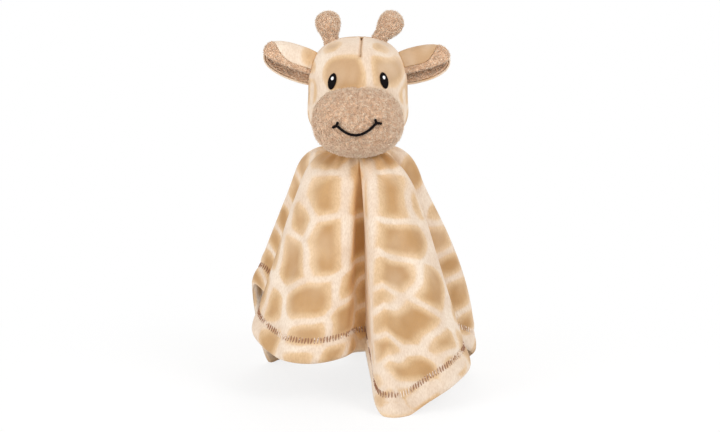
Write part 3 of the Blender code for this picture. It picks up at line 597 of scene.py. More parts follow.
# %% The drape's surface
SHOULDER_REACH, SHOULDER_START, SHOULDER_END = 0.32, 0.35, 0.14
SHOULDER_DROP, FRONT_DROP = 0.006 * BLANKET_SIDE, 0.070 * BLANKET_SIDE
RING_TWIST, TWIST_END = 0.35, 0.45
BELLY_SHARE, BELLY_RISE, BELLY_DEG, BELLY_SPREAD_DEG = 0.11, 1.3, 12, 36
HEM_ROWS = np.array([30, 27, 24.5, 22, 20.5, 19.5, 18.5, 17, 15, 12.5, 10, 8, 6, 4.5, 3.2,
                     2.2, 1.4, 0.7, 0.25, 0]) * MM
UPPER_ROWS = 84


def belly(azimuth, hang):
    """How far a fold bellies out, as a share of its reach, at a share of its hang."""
    off = np.abs(np.degrees(azimuth) - BELLY_DEG)
    spread = np.cos(np.radians(90 * np.minimum(1, off / BELLY_SPREAD_DEG))) ** 2
    peak = BELLY_RISE / (1 + BELLY_RISE)
    most = peak ** BELLY_RISE * (1 - peak)
    return BELLY_SHARE * spread * hang ** BELLY_RISE * (1 - hang) / most


def drape(hem, flat):
    """The cloth's middle surface: points, flat places and distance above the hem,
    in rows from the neck ring to the hem and columns along the hem."""
    reach = np.hypot(hem[:, 0], hem[:, 1])
    azimuth = np.arctan2(hem[:, 1], hem[:, 0])
    turn = np.arctan2(flat[:, 1], flat[:, 0]) - azimuth
    turn = np.arctan2(np.sin(turn), np.cos(turn))
    ring = np.stack([np.full_like(reach, NECK_RING_RADIUS), np.full_like(reach, DRAPE_TOP)], -1)
    end = np.stack([reach, hem[:, 2]], -1)
    drop = SHOULDER_DROP + FRONT_DROP * np.maximum(0, -np.sin(azimuth))
    shoulder = np.stack([NECK_RING_RADIUS + SHOULDER_REACH * (reach - NECK_RING_RADIUS),
                         DRAPE_TOP - drop], -1)
    start = ring + (shoulder - ring) * SHOULDER_START
    stop = shoulder + (end - shoulder) * SHOULDER_END
    lengths = [np.linalg.norm(two - one, axis=1)
               for one, two in ((ring, start), (start, stop), (stop, end))]
    whole = sum(lengths)
    above = np.concatenate([np.linspace(whole, np.full_like(whole, HEM_ROWS[0]), UPPER_ROWS)[:-1],
                            np.repeat(HEM_ROWS[:, None], len(whole), 1)])
    run = whole - above
    first = np.clip(run / lengths[0], 0, 1)[..., None]
    bend = np.clip((run - lengths[0]) / lengths[1], 0, 1)[..., None]
    hang = np.clip((run - lengths[0] - lengths[1]) / lengths[2], 0, 1)[..., None]
    inner = start + (shoulder - start) * bend
    curve = inner * (1 - bend) + (shoulder + (stop - shoulder) * bend) * bend
    spot = np.where(run[..., None] < lengths[0][:, None], ring + (start - ring) * first,
                    np.where(hang > 0, stop + (end - stop) * hang, curve))
    spot[..., 0] += reach * belly(azimuth, hang[..., 0])
    share = run / whole
    angle = azimuth + turn * RING_TWIST * (1 - smooth_step(0, TWIST_END, share))
    points = np.stack([spot[..., 0] * np.cos(angle), spot[..., 0] * np.sin(angle), spot[..., 1]], -1)
    edge = np.linalg.norm(flat, axis=1)
    radius = NECK_RING_RADIUS + share * (edge - NECK_RING_RADIUS)
    places = radius[..., None] * flat / edge[:, None]
    return points, places, above, share


def surface_normals(points, blur=2):
    """The outward direction at each point of the drape, softened along the hem."""
    along = np.roll(points, -1, 1) - np.roll(points, 1, 1)
    down = np.gradient(points, axis=0)
    normal = np.cross(down, along)
    normal /= np.linalg.norm(normal, axis=2, keepdims=True)
    soft = sum(np.roll(normal, shift, 1) for shift in range(-blur, blur + 1))
    return soft / np.linalg.norm(soft, axis=2, keepdims=True)


cloth, cloth_flat, above_hem, down_share = drape(hem, hem_flat)
cloth_out = surface_normals(cloth)
print("drape:", cloth.shape[0], "rows of", cloth.shape[1], "points; outward is right:",
      bool((cloth_out[60, :, :2] * cloth[60, :, :2]).sum() > 0))

# %% [markdown]
# ### Small folds and thickness
# A real sheet is never quite flat between its main folds, so a few slow waves that run
# down the cloth push it in and out by a millimetre or so. The thickness is more than
# the two layers: the seam allowance puffs up the border between hem and stitches, and
# the stitches pull the layers flat.

# %% Waves and two layers
# Each wave's count round the hem, its size in mm, its phase and its slant
WAVES = ((17, 0.7, 0.4, 1.2), (23, 0.6, 2.1, -1.6), (31, 0.45, 4.0, 2.2), (44, 0.25, 1.3, -2.5))


def hanging_waves(flat, share):
    """Slow waves along the hem, in metres, that fade out at the neck."""
    around = np.arctan2(flat[..., 1], flat[..., 0])
    waves = np.zeros_like(share)
    for count, size, phase, slant in WAVES:
        waves += size * MM * np.sin(count * around + phase + slant * share)
    return waves * smooth_step(0.12, 0.5, share)


def neck_gathers(flat, share):
    """Small pleats round the neck ring that die out over the shoulder."""
    around = np.arctan2(flat[..., 1], flat[..., 0])
    faded = smooth_step(0, 0.03, share) * (1 - smooth_step(0.05, 0.3, share))
    return 0.7 * MM * np.sin(38 * around) * faded


def layer_height(above):
    """How far a layer's outer side stands off the middle surface, by the hem's rules."""
    plain = 2.1 * MM
    border = 1.3 * MM * np.sin(np.pi * np.clip(above / (17 * MM), 0, 1)) ** 0.8
    stitched = -0.8 * MM * np.exp(-((above - 19.5 * MM) / (2.6 * MM)) ** 2)
    beyond = 0.5 * MM * np.exp(-((above - 27 * MM) / (4 * MM)) ** 2)
    rim = np.sqrt(np.clip(1 - (1 - np.clip(above / (4 * MM), 0, 1)) ** 2, 0, 1))
    return (plain + border + stitched + beyond) * rim


def layer(name, side, base, height, material):
    """A closed shell of one cloth layer: its outer side, round the hem, and its back."""
    rows, columns = height.shape
    near = base + cloth_out * (side * 0.15 * MM)
    far = base + cloth_out * (side * height)[..., None]
    for sheet in (near, far):
        sheet[..., 2] = np.maximum(sheet[..., 2], 0.1 * MM)
    back = list(range(0, rows - 1, 4)) + [rows - 1]
    sheets = np.concatenate([far, near[back[::-1]]])
    flats = np.concatenate([cloth_flat, cloth_flat[back[::-1]]])
    points = sheets.reshape(-1, 3)
    faces = row_faces(len(sheets), columns)
    last = (len(sheets) - 1) * columns
    tops = [base[0].mean(0) + np.array([0, 0, side * stand]) for stand in (2.1 * MM, 0.15 * MM)]
    count = len(points)
    points = np.vstack([points, tops])
    faces += [(count, column, (column + 1) % columns) for column in range(columns)]
    faces += [(count + 1, last + (column + 1) % columns, last + column) for column in range(columns)]
    piece = new_piece(name, points + np.array(axis_shift), faces, material)
    flat_points = np.vstack([flats.reshape(-1, 2), [[0, 0], [0, 0]]])
    return piece, flat_points


def keep_flat_map(piece, flat_points):
    """The place on the flat cloth as the piece's UV map, in metres from its middle."""
    layer_map = piece.data.uv_layers.new(name="flat_cloth")
    corners = np.zeros(len(piece.data.loops), dtype=np.int32)
    piece.data.loops.foreach_get("vertex_index", corners)
    layer_map.data.foreach_set("uv", flat_points[corners].astype(np.float32).ravel() + 0.5)


ripple = hanging_waves(cloth_flat, down_share) + neck_gathers(cloth_flat, down_share)
waved = cloth + cloth_out * ripple[..., None]
cloth_height = layer_height(above_hem)
velour_layer, velour_flat = layer("blanket_velour", 1, waved, cloth_height, blanket_print)
lining_layer, lining_flat = layer("blanket_underside", -1, waved, cloth_height * 0.85, blanket_print)
print("blanket layers:", len(velour_layer.data.polygons), "and", len(lining_layer.data.polygons), "faces")

# %% [markdown]
# ### Where the print's patches lie
# The patches that the photograph shows are listed by the pixels of their spines. A
# sight line through each pixel meets the hanging cloth, and the place on the flat cloth
# there becomes an end of the patch's spine. Everywhere else, patches are scattered at
# the same spacing.

# %% Patches on the cloth
# Each row is a patch's spine, from pixel to pixel, and its radius in pixels
SEEN_PATCHES = (
    (326, 160, 332, 160, 10), (331, 184, 322, 205, 9.5), (303, 214, 303, 227, 6.5), (327, 235, 327, 259, 13),
    (294, 255, 293, 268, 12.5), (303, 301, 316, 301, 14), (273, 303, 271, 315, 8), (302, 338, 314, 337, 10.5),
    (270, 338, 268, 342, 10), (294, 356, 304, 356, 6.5), (332, 353, 336, 353, 8), (352, 347, 352, 347, 5.5),
    (358, 170, 358, 206, 7.5), (357, 228, 356, 251, 9.5), (356, 270, 347, 289, 8.5), (345, 314, 343, 327, 10.5),
    (361, 315, 361, 330, 5.5), (363, 284, 363, 299, 3), (380, 159, 384, 159, 9), (390, 191, 390, 206, 14),
    (399, 239, 404, 239, 16), (388, 275, 405, 275, 12), (381, 299, 382, 300, 10), (397, 322, 420, 322, 17),
    (432, 281, 431, 296, 12), (380, 350, 380, 354, 9.5), (439, 342, 447, 342, 11), (399, 372, 424, 372, 11),
    (378, 377, 378, 381, 5), (381, 398, 386, 398, 3.5), (413, 395, 427, 394, 10), (453, 362, 457, 362, 9),
    (416, 199, 417, 206, 8.5), (436, 238, 436, 240, 11.5), (449, 265, 450, 267, 9), (459, 288, 459, 302, 8.5),
    (466, 318, 466, 325, 6.5), (437, 212, 437, 216, 5), (412, 168, 414, 176, 7), (304, 160, 302, 170, 6),
    (297, 185, 295, 195, 6.5), (285, 217, 282, 225, 6.5), (277, 237, 275, 245, 6.5), (271, 260, 268, 270, 6.5),
    (259, 280, 258, 286, 6),
)
# The same for strips between patches that stay cream: some are cream lines of the print, and those along fold
# edges are painted highlights
SEEN_CREAM = (
    (371, 160, 371, 250, 3), (371, 250, 372, 330, 3), (372, 330, 375, 372, 2.5), (384, 411, 404, 412, 6),
    (393, 397, 401, 401, 5), (412, 402, 438, 384, 6), (444, 379, 462, 362, 5), (346, 165, 345, 262, 3),
    (410, 180, 424, 216, 2), (314, 150, 301, 190, 2.5),
)
PATCH_SPACING, PATCH_KEEP_CLEAR, PATCH_RADIUS = 31 * MM, 12 * MM, 12.5 * MM


def pixel_size(place):
    """How long a pixel of the photograph is at a place, seen square on."""
    return (place - camera.location).length / (LENS_PER_WIDTH * PHOTO_WIDTH)


def mesh_tree(piece):
    return BVHTree.FromPolygons([vert.co for vert in piece.data.vertices],
                                [list(face.vertices) for face in piece.data.polygons])


def flat_place(piece, flat_points, place, face):
    """The flat cloth's place at a place on one of the piece's faces, from its nearest corners."""
    corners = list(piece.data.polygons[face].vertices)
    near = np.array([1 / ((piece.data.vertices[index].co - place).length + 1e-6) for index in corners])
    return (flat_points[corners] * near[:, None]).sum(0) / near.sum()


def seen_patches(rows):
    """Rows of spine pixels and radii as spines and radii on the flat cloth."""
    tree, patches = mesh_tree(velour_layer), []
    for start_x, start_y, end_x, end_y, radius in rows:
        ends = seen_at(tree, [(start_x, start_y), (end_x, end_y)])
        if len(ends) == 2:
            start, end = [flat_place(velour_layer, velour_flat, place, face) for place, face in ends]
            patches.append((start, end, radius * pixel_size(ends[0][0])))
    return patches


def blanket_centres():
    fixed = seen_patches(SEEN_PATCHES)
    others = []
    for centre in scattered_centres(195 * MM, PATCH_SPACING, 6 * MM, seed=4):
        gaps = [np.linalg.norm(centre - (start + end) / 2) - radius for start, end, radius in fixed]
        if min(gaps) > PATCH_KEEP_CLEAR + PATCH_SLACK:
            others.append((centre, centre, PATCH_RADIUS))
    print(len(fixed), "patches where the photograph shows them, and", len(others), "more")
    return fixed + others


blanket_patches, blanket_cream = blanket_centres(), seen_patches(SEEN_CREAM)
for piece, flat_points in ((velour_layer, velour_flat), (lining_layer, lining_flat)):
    keep_patch_field(piece, patch_field(flat_points, blanket_patches, blanket_cream))
    keep_flat_map(piece, flat_points)
    turn_outwards(piece)

# %% [markdown]
# ## The head
# The head is a stuffed ball, rounder than an egg, in two printed panels that meet in a
# seam over the crown. The seam pulls the cloth in, so each panel dips towards it. A
# short dart gathers the top of the forehead.

# %% The head's form
HEAD_MIDDLE = axis_shift + Vector((0, 2 * MM, NECK_TOP + 46.5 * MM))
HEAD_HALF = (42 * MM, 40 * MM)
HEAD_ABOVE, HEAD_BELOW = 46.5 * MM, 38.5 * MM
HEAD_FULLNESS = (0.085, 0.20)
HEAD_STEPS = 121


def rounded_form(half, back, above, below, fullness, latitude, longitude, grow=0.0):
    """Points of a stuffed form about its middle, from angles as on a globe."""
    swell = 1 + np.where(latitude > 0, fullness[0], fullness[1]) * np.sin(2 * latitude) ** 2
    across = (half[0] + grow) * np.cos(longitude) * np.cos(latitude)
    fore = np.where(np.sin(longitude) > 0, back + grow, half[1] + grow)
    depth = fore * np.sin(longitude) * np.cos(latitude)
    height = np.where(latitude > 0, above + grow, below + grow) * np.sin(latitude)
    return np.stack(np.broadcast_arrays(across * swell, depth * swell, height * swell), -1)


def head_form(latitude, longitude, grow=0.0):
    """Points of the head about its middle, from angles as on a globe."""
    return rounded_form(HEAD_HALF, HEAD_HALF[1], HEAD_ABOVE, HEAD_BELOW, HEAD_FULLNESS,
                        latitude, longitude, grow)


def grid_normals(points):
    """Outward directions of a grid of points over a round form about its middle."""
    normal = np.cross(np.gradient(points, axis=0), np.gradient(points, axis=1))
    length = np.linalg.norm(normal, axis=2, keepdims=True)
    normal = np.where(length > 1e-12, normal / np.maximum(length, 1e-12), points)
    normal /= np.linalg.norm(normal, axis=2, keepdims=True)
    return normal * np.sign((normal * points).sum(2, keepdims=True))


def head_dents(points):
    """How far the seam, the dart and its pucker pull the head's cloth in."""
    x, y, z = points[..., 0], points[..., 1], points[..., 2]
    seam = -1.5 * MM * np.exp(-np.abs(y) / (1.6 * MM))
    across_dart = x - (2.2 * MM + 0.08 * (z - 36 * MM))
    down_dart = smooth_step(31 * MM, 34 * MM, z) * (y < 0)
    dart = -3.0 * MM * np.exp(-(across_dart / (1.1 * MM)) ** 2) * down_dart
    lips = 0.7 * MM * np.exp(-((np.abs(across_dart) - 2.6 * MM) / (1.5 * MM)) ** 2) * down_dart
    off_pucker = (x - 2.0 * MM) ** 2 + (z - 32.5 * MM) ** 2
    pucker = -1.8 * MM * np.exp(-off_pucker / (2.2 * MM) ** 2) * (y < 0)
    return seam + dart + lips + pucker


def head_panel(name, start, end, print_spines):
    """One panel of the head's cover, from one longitude to another, as a closed shell."""
    latitude = np.radians(np.linspace(-90, 90, HEAD_STEPS))[:, None]
    longitude = np.radians(np.linspace(start, end, HEAD_STEPS))[None, :]
    points = head_form(latitude, longitude)
    points = points + grid_normals(points) * head_dents(points)[..., None]
    # The ends stop a hair short of the seam, so that the two panels don't touch
    side = -1 if start >= 180 else 1
    points[..., 1] = side * np.maximum(np.abs(points[..., 1]), 0.1 * MM)
    piece = new_piece(name, points.reshape(-1, 3) + np.array(HEAD_MIDDLE),
                      row_faces(HEAD_STEPS, HEAD_STEPS, closed=False), head_print)
    turn_outwards(piece)
    middle = np.mean([vert.co for vert in piece.data.vertices], axis=0)
    face = piece.data.polygons[len(piece.data.polygons) // 2]
    if (face.center - Vector(middle)).dot(face.normal) < 0:
        piece.data.flip_normals()
    wall = piece.modifiers.new("cloth", "SOLIDIFY")
    wall.thickness = 1.6 * MM
    wall.offset = -1
    bake_modifiers(piece)
    places = np.array([vert.co for vert in piece.data.vertices])
    keep_patch_field(piece, patch_field(places, *print_spines))
    return piece


def closed_form(name, points_of, dents, middle, rows, columns, material):
    """A closed stuffed form from its point function, with its two poles as single points."""
    latitude = np.radians(np.linspace(-90, 90, rows))[:, None]
    longitude = np.radians(np.linspace(0, 360, columns, endpoint=False))[None, :]
    points = points_of(latitude, longitude)
    wrapped = np.concatenate([points[:, -1:], points, points[:, :1]], axis=1)
    outward = grid_normals(wrapped)[:, 1:-1]
    points = points + outward * dents(points)[..., None]
    return turn_outwards(new_piece(name, points.reshape(-1, 3) + np.array(middle),
                                   row_faces(rows, columns), material))


def head_tool(grow):
    """The head's whole form, a little grown, as a tool to cut with."""
    return closed_form("head_tool", lambda latitude, longitude: head_form(latitude, longitude, grow),
                       lambda points: np.zeros(points.shape[:2]), HEAD_MIDDLE, 61, 96, None)


def on_head(longitude, latitude):
    """A place on the head's surface, by angles in degrees; 270 is the face's middle."""
    return head_form(np.radians(latitude), np.radians(longitude)) + np.array(HEAD_MIDDLE)


# Spines and radii in pixels of the photograph for the face, in angles for the rest
SEEN_FACE_PATCHES = (
    (338, 73, 353, 72, 14.5), (382, 70, 398, 71, 13), (330, 47, 334, 46, 4), (380, 48, 384, 50, 4),
    (311, 66, 312, 70, 4),
)
SEEN_FACE_CREAM = ((312, 86, 312, 122, 5), (404, 92, 404, 122, 4), (363, 58, 370, 78, 2.5))
UNSEEN_PATCH_RADIUS = 11 * MM
UNSEEN_HEAD_PATCHES = (
    (252, -22), (288, -26), (214, -34), (326, -34), (238, -64), (300, -66), (20, 40), (70, 52), (120, 44),
    (160, 30), (30, 0), (75, 10), (120, 2), (160, -18), (48, -34), (96, -32), (140, -48), (20, -60),
    (88, -72), (90, 84), (196, 2), (344, 2), (352, -32), (188, -34),
)


def face_spines(tree, rows):
    """Rows of spine pixels and radii as spines and radii on the face."""
    spines = []
    for start_x, start_y, end_x, end_y, radius in rows:
        (start, _), (end, _) = seen_at(tree, [(start_x, start_y), (end_x, end_y)])
        spines.append((start, end, radius * pixel_size(start)))
    return spines


def head_spines():
    """The head's patches and bare stripes, seen on the plain form of its face."""
    form = head_tool(0)
    tree = mesh_tree(form)
    patches, cream = face_spines(tree, SEEN_FACE_PATCHES), face_spines(tree, SEEN_FACE_CREAM)
    bpy.data.objects.remove(form, do_unlink=True)
    for angles in UNSEEN_HEAD_PATCHES:
        centre = on_head(*angles)
        patches.append((centre, centre, UNSEEN_PATCH_RADIUS))
    return patches, cream


head_print_spines = head_spines()
head_face = head_panel("head_face", 180, 360, head_print_spines)
head_back = head_panel("head_back", 0, 180, head_print_spines)
print("head panels:", len(head_face.data.polygons), "and", len(head_back.data.polygons), "faces")

# %% [markdown]
# ## The muzzle
# The muzzle is an oval cushion of fleece sewn on the lower half of the face. It stands
# out in front, and its edge turns in to meet the head, so a Boolean takes away what
# would lie inside the head and leaves the seam exactly on its surface.

# %% The muzzle's form
MUZZLE_MIDDLE = HEAD_MIDDLE - Vector((0, 34 * MM, 21.5 * MM))
MUZZLE_HALF = (38.5 * MM, 27 * MM)
MUZZLE_BACK, MUZZLE_UP = 14 * MM, 30 * MM
MUZZLE_FULLNESS = (0.04, 0.04)


def muzzle_points(latitude, longitude):
    """The muzzle's cloth, which lies under its pile."""
    return rounded_form(MUZZLE_HALF, MUZZLE_BACK, MUZZLE_UP, MUZZLE_UP, MUZZLE_FULLNESS,
                        latitude, longitude, -1.3 * MM)


def muzzle_creases(points):
    """A faint crease over the chin and a shallow parting down the bridge."""
    x, y, z = points[..., 0], points[..., 1], points[..., 2]
    front = (y < 0)
    chin = z + 16.5 * MM - 3.2 * MM * (x / (20 * MM)) ** 2
    crease = -0.9 * MM * np.exp(-(chin / (1.6 * MM)) ** 2) * np.exp(-(x / (19 * MM)) ** 4) * front
    bridge = -0.8 * MM * np.exp(-(x / (1.3 * MM)) ** 2) * smooth_step(4 * MM, 14 * MM, z) * front
    return crease + bridge


def cut_away(piece, tool):
    """Takes a tool's volume out of a piece, and removes the tool."""
    boolean = piece.modifiers.new("cut", "BOOLEAN")
    boolean.operation = "DIFFERENCE"
    boolean.solver = "EXACT"
    boolean.object = tool
    bake_modifiers(piece)
    bpy.data.objects.remove(tool, do_unlink=True)
    return piece


muzzle = closed_form("muzzle", muzzle_points, muzzle_creases, MUZZLE_MIDDLE, 91, 128, tan_fleece)
cut_away(muzzle, head_tool(0.3 * MM))
print("muzzle:", len(muzzle.data.polygons), "faces")

# %% [markdown]
# ## The ears
# Each ear is a leaf of printed velour with a fleece lining. The leaf is rolled
# lengthwise, and its upper lip hangs over the front, so the photograph shows velour on
# top, a rim of fleece where the lining is rolled out, and a dark opening under it. Its
# root is sewn into the side seam of the head, so the roll flattens against the head there.

# %% The ears' rolled leaves
EAR_LENGTH = {"left": 37.2 * MM, "right": 34.2 * MM}
EAR_ROOT_HEIGHT = 29 * MM
EAR_CUP_DEPTH, EAR_ROOT_DEPTH, EAR_PINCH_LENGTH = 6.5 * MM, 4.5 * MM, 18 * MM
EAR_LOWER_CURL_DEG, EAR_UPPER_CURL_DEG = 95, 200
EAR_DROOP_DEG = {"left": -5, "right": 0}
EAR_OUTLINE = ((0.0, 0.84), (0.02, 0.86), (0.16, 0.92), (0.34, 0.92), (0.54, 0.88), (0.72, 0.79),
               (0.86, 0.65), (0.95, 0.47), (0.985, 0.28), (1.00, 0.10))
EAR_ROLLED_OUT = {"left": (4.0 * MM, 18.0 * MM), "right": (5.0 * MM, 22.0 * MM)}
EAR_TUCK, EAR_TUCK_LENGTH, HEAD_CURVE = 2.4 * MM, 12 * MM, 88 * MM
SIDES = {"left": -1, "right": 1}
EAR_ROWS, EAR_COLUMNS = 64, 81


def ear_frame(side):
    """The ear's root, the direction along its seam, and the outward one, drooping a little."""
    joint = joints[f"ear_{side}_flap"]
    along = Vector(joint["axis"]) * (1 if joint["axis"][2] > 0 else -1)
    sign = SIDES[side]
    outward = Vector((sign * along.z, 0, -sign * along.x))
    outward.rotate(Matrix.Rotation(math.radians(sign * EAR_DROOP_DEG[side]), 3, "Y"))
    return np.array(joint["pos_m"]), np.array(along), np.array(outward)


def ear_sheet(side):
    """The leaf from root to tip, and from its lower edge over the back to its upper lip."""
    root, along, outward = ear_frame(side)
    shares = 1 - (1 - np.linspace(0, 1, EAR_ROWS)) ** 1.5
    heights = np.interp(shares, [row[0] for row in EAR_OUTLINE], [row[1] for row in EAR_OUTLINE])
    kernel = np.array([1, 2, 3, 2, 1]) / 9
    heights[2:-2] = np.convolve(heights, kernel, mode="valid")
    out = (shares * EAR_LENGTH[side])[:, None]
    opened = smooth_step(0, EAR_PINCH_LENGTH, out)
    depth = (EAR_ROOT_DEPTH + (EAR_CUP_DEPTH - EAR_ROOT_DEPTH) * opened) * np.sqrt(heights)[:, None]
    angle = np.radians(np.linspace(-EAR_LOWER_CURL_DEG, EAR_UPPER_CURL_DEG, EAR_COLUMNS))[None, :]
    up = (heights * EAR_ROOT_HEIGHT / 2)[:, None] * np.sin(angle)
    fore = depth * (0.8 - np.cos(angle))
    tuck = (EAR_TUCK + (up * up + fore * fore) / HEAD_CURVE) * (1 - smooth_step(0, EAR_TUCK_LENGTH, out))
    front = np.array([0, -1.0, 0])
    return root + (out - tuck)[..., None] * outward + up[..., None] * along + fore[..., None] * front


def cut_rows(sheet, starts, ends, columns):
    """The sheet with each row cut to a length from its lower edge, in even steps."""
    steps = np.linalg.norm(np.diff(sheet, axis=1), axis=2)
    run = np.concatenate([np.zeros((len(sheet), 1)), np.cumsum(steps, axis=1)], axis=1)
    rows = []
    for row, lengths, start, end in zip(sheet, run, starts, lengths_from_end(run, ends)):
        spots = np.linspace(start, max(end, start + MM), columns)
        rows.append(np.stack([np.interp(spots, lengths, row[:, axis]) for axis in range(3)], -1))
    return np.array(rows)


def lengths_from_end(run, ends):
    return run[:, -1] - ends


def ear_layer(name, sheet, inner, outer, material):
    """A closed shell between two heights over the leaf, with rounded edges."""
    normal = np.cross(np.gradient(sheet, axis=0), np.gradient(sheet, axis=1))
    normal /= np.maximum(np.linalg.norm(normal, axis=2, keepdims=True), 1e-12)
    rows, columns = sheet.shape[:2]
    behind = normal[rows // 3, columns // 3, 1]
    normal *= 1 if behind > 0 else -1
    steps = np.linalg.norm(np.diff(sheet, axis=1), axis=2)
    run = np.concatenate([np.zeros((rows, 1)), np.cumsum(steps, axis=1)], axis=1)
    edge = np.minimum(run, run[:, -1:] - run)
    rim = np.sqrt(np.clip(1 - (1 - np.clip(edge / (1.4 * MM), 0, 1)) ** 2, 0, 1))
    centre, half = (inner + outer) / 2, (outer - inner) / 2 * (0.2 + 0.8 * rim)
    points = np.vstack([(sheet + normal * height[..., None]).reshape(-1, 3)
                        for height in (centre + half, centre - half)])
    count = rows * columns
    faces = row_faces(rows, columns, closed=False)
    faces += [tuple(index + count for index in face[::-1]) for face in faces[:]]
    border = (list(range(columns)) + [row * columns + columns - 1 for row in range(1, rows)]
              + [(rows - 1) * columns + column for column in range(columns - 2, -1, -1)]
              + [row * columns for row in range(rows - 2, 0, -1)])
    faces += [(one, two, two + count, one + count) for one, two in zip(border, border[1:] + border[:1])]
    return turn_outwards(new_piece(name, points, faces, material))


def make_ear(side):
    sheet = ear_sheet(side)
    root, along, outward = ear_frame(side)
    shares = np.linspace(0, 1, EAR_ROWS)
    low, high = EAR_ROLLED_OUT[side]
    rolled = low + (high - low) * smooth_step(0.25, 1.0, shares)
    whole = np.linalg.norm(np.diff(sheet, axis=1), axis=2).sum(axis=1)
    rolled = np.minimum(rolled, 0.45 * whole)
    cover_sheet = cut_rows(sheet, np.zeros(EAR_ROWS), rolled, EAR_COLUMNS)
    cover = ear_layer(f"ear_{side}_velour", cover_sheet, np.full(cover_sheet.shape[:2], 0.2 * MM),
                      np.full(cover_sheet.shape[:2], 2.0 * MM), head_print)
    places = np.array([vert.co for vert in cover.data.vertices])
    patches = []
    for out, up, behind, radius in EAR_PATCHES[side]:
        centre = root + outward * out + along * up + np.array([0, behind, 0])
        patches.append((centre, centre, radius))
    keep_patch_field(cover, patch_field(places, patches))
    lining_sheet = cut_rows(sheet, np.full(EAR_ROWS, 0.8 * MM), np.zeros(EAR_ROWS), EAR_COLUMNS)
    steps = np.linalg.norm(np.diff(lining_sheet, axis=1), axis=2)
    run = np.concatenate([np.zeros((EAR_ROWS, 1)), np.cumsum(steps, axis=1)], axis=1)
    to_lip = run[:, -1:] - run
    bare = 1 - smooth_step(-0.5 * MM, 0.5 * MM, to_lip - rolled[:, None])
    outer = -0.2 * MM + 2.2 * MM * bare
    lining = ear_layer(f"ear_{side}_fleece", lining_sheet, np.full(outer.shape, -1.6 * MM), outer, tan_fleece)
    return cover, lining


EAR_PATCHES = {"left": [(2 * MM, 8 * MM, -3 * MM, 6 * MM), (24 * MM, -4 * MM, 8 * MM, 9 * MM)],
               "right": [(13 * MM, 6 * MM, -5 * MM, 17 * MM), (26 * MM, -4 * MM, 8 * MM, 9 * MM)]}
ears = {side: make_ear(side) for side in SIDES}
print("ears:", [len(piece.data.polygons) for pair in ears.values() for piece in pair], "faces")

# %% [markdown]
# ## The ossicones
# A giraffe's two horn knobs are small stuffed balls on soft stalks, sewn into the crown
# seam. Each is a turned outline: the stalk swells into the knob, and the root is round
# so that it can bend on the head.

# %% The ossicones' turned outline
OSSICONE_LENGTH = {"left": 25.5 * MM, "right": 27.2 * MM}
OSSICONE_LEAN_DEG = {"left": 10, "right": 37}
KNOB_RADIUS, ROOT_RADIUS = 11.2 * MM, 6.2 * MM
PILE_HEIGHT = 1.2 * MM
KNOB_OUTLINE = ((0.0, 0.57), (0.17, 0.63), (0.30, 0.78), (0.45, 0.93), (0.61, 1.00), (0.77, 0.94),
                (0.90, 0.68), (0.975, 0.34), (1.00, 0.00))


def knob_curve():
    """Heights and radii, as shares, along a smooth curve through the knob's outline."""
    heights = [Vector((height, radius, 0)) for height, radius in KNOB_OUTLINE]
    line = [heights[0]]
    for index in range(len(heights) - 1):
        before = heights[max(index - 1, 0)] if index else heights[0] * 2 - heights[1]
        after = heights[index + 2] if index + 2 < len(heights) else heights[-1] * 2 - heights[-2]
        line += [spline_point(before, heights[index], heights[index + 1], after, step / 8)
                 for step in range(1, 9)]
    return [(point.x, max(0.0, point.y)) for point in line]


def stalk_direction(side):
    lean = math.radians(SIDES[side] * OSSICONE_LEAN_DEG[side])
    return Vector((math.sin(lean), 0, math.cos(lean)))


def make_ossicone(side):
    root = Vector(joints[f"ossicone_{side}_bend"]["pos_m"])
    turn = stalk_direction(side).to_track_quat("Z", "Y").to_matrix().to_4x4()
    around = np.linspace(0, 2 * np.pi, 48, endpoint=False)
    bottom = [(ROOT_RADIUS * math.sin(angle), -ROOT_RADIUS * math.cos(angle))
              for angle in np.radians([2, 20, 40, 60, 78])]
    outline = bottom + [(radius * (KNOB_RADIUS - PILE_HEIGHT), share * (OSSICONE_LENGTH[side] - PILE_HEIGHT))
                        for share, radius in knob_curve()]
    points = np.array([[(radius * math.cos(angle), radius * math.sin(angle), height) for angle in around]
                       for radius, height in outline])
    piece = new_piece(f"ossicone_{side}", points.reshape(-1, 3), row_faces(len(outline), 48), tan_fleece)
    turn_outwards(piece)
    fill = bmesh.new()
    fill.from_mesh(piece.data)
    bmesh.ops.holes_fill(fill, edges=[edge for edge in fill.edges if edge.is_boundary])
    bmesh.ops.recalc_face_normals(fill, faces=fill.faces)
    fill.to_mesh(piece.data)
    fill.free()
    piece.data.transform(Matrix.Translation(root) @ turn)
    return piece


ossicones = {side: make_ossicone(side) for side in SIDES}
print("ossicones:", [len(piece.data.polygons) for piece in ossicones.values()], "faces")

# %% [markdown]
# ## The neck
# Between the head and the blanket the cloth is gathered on a thread. A short collar
# with small pleats stands for it: it is narrow in the middle, where the thread pulls.

# %% The gathered collar
def gathered_collar():
    outline = ((16.2, 0.6), (15.6, 1.6), (13.8, 3.0), (12.6, 4.6), (12.6, 6.0), (13.6, 7.2), (14.2, 7.9))
    around = np.linspace(0, 2 * np.pi, 240, endpoint=False)
    rows = []
    for radius, height in outline:
        ripple = 1 + 0.045 * np.sin(30 * around)
        rows.append(np.stack([radius * MM * ripple * np.cos(around), radius * MM * ripple * np.sin(around),
                              np.full_like(around, height * MM)], -1))
    inner = [row * np.array([0.88, 0.88, 1]) for row in rows[::-1]]
    points = np.array(rows + inner + rows[:1])
    place = np.array([neck_seam.x, neck_seam.y, neck_seam.z - 0.3 * MM])
    return turn_outwards(new_piece("neck_collar", points.reshape(-1, 3) + place,
                                   row_faces(len(points), 240), cream_velour))


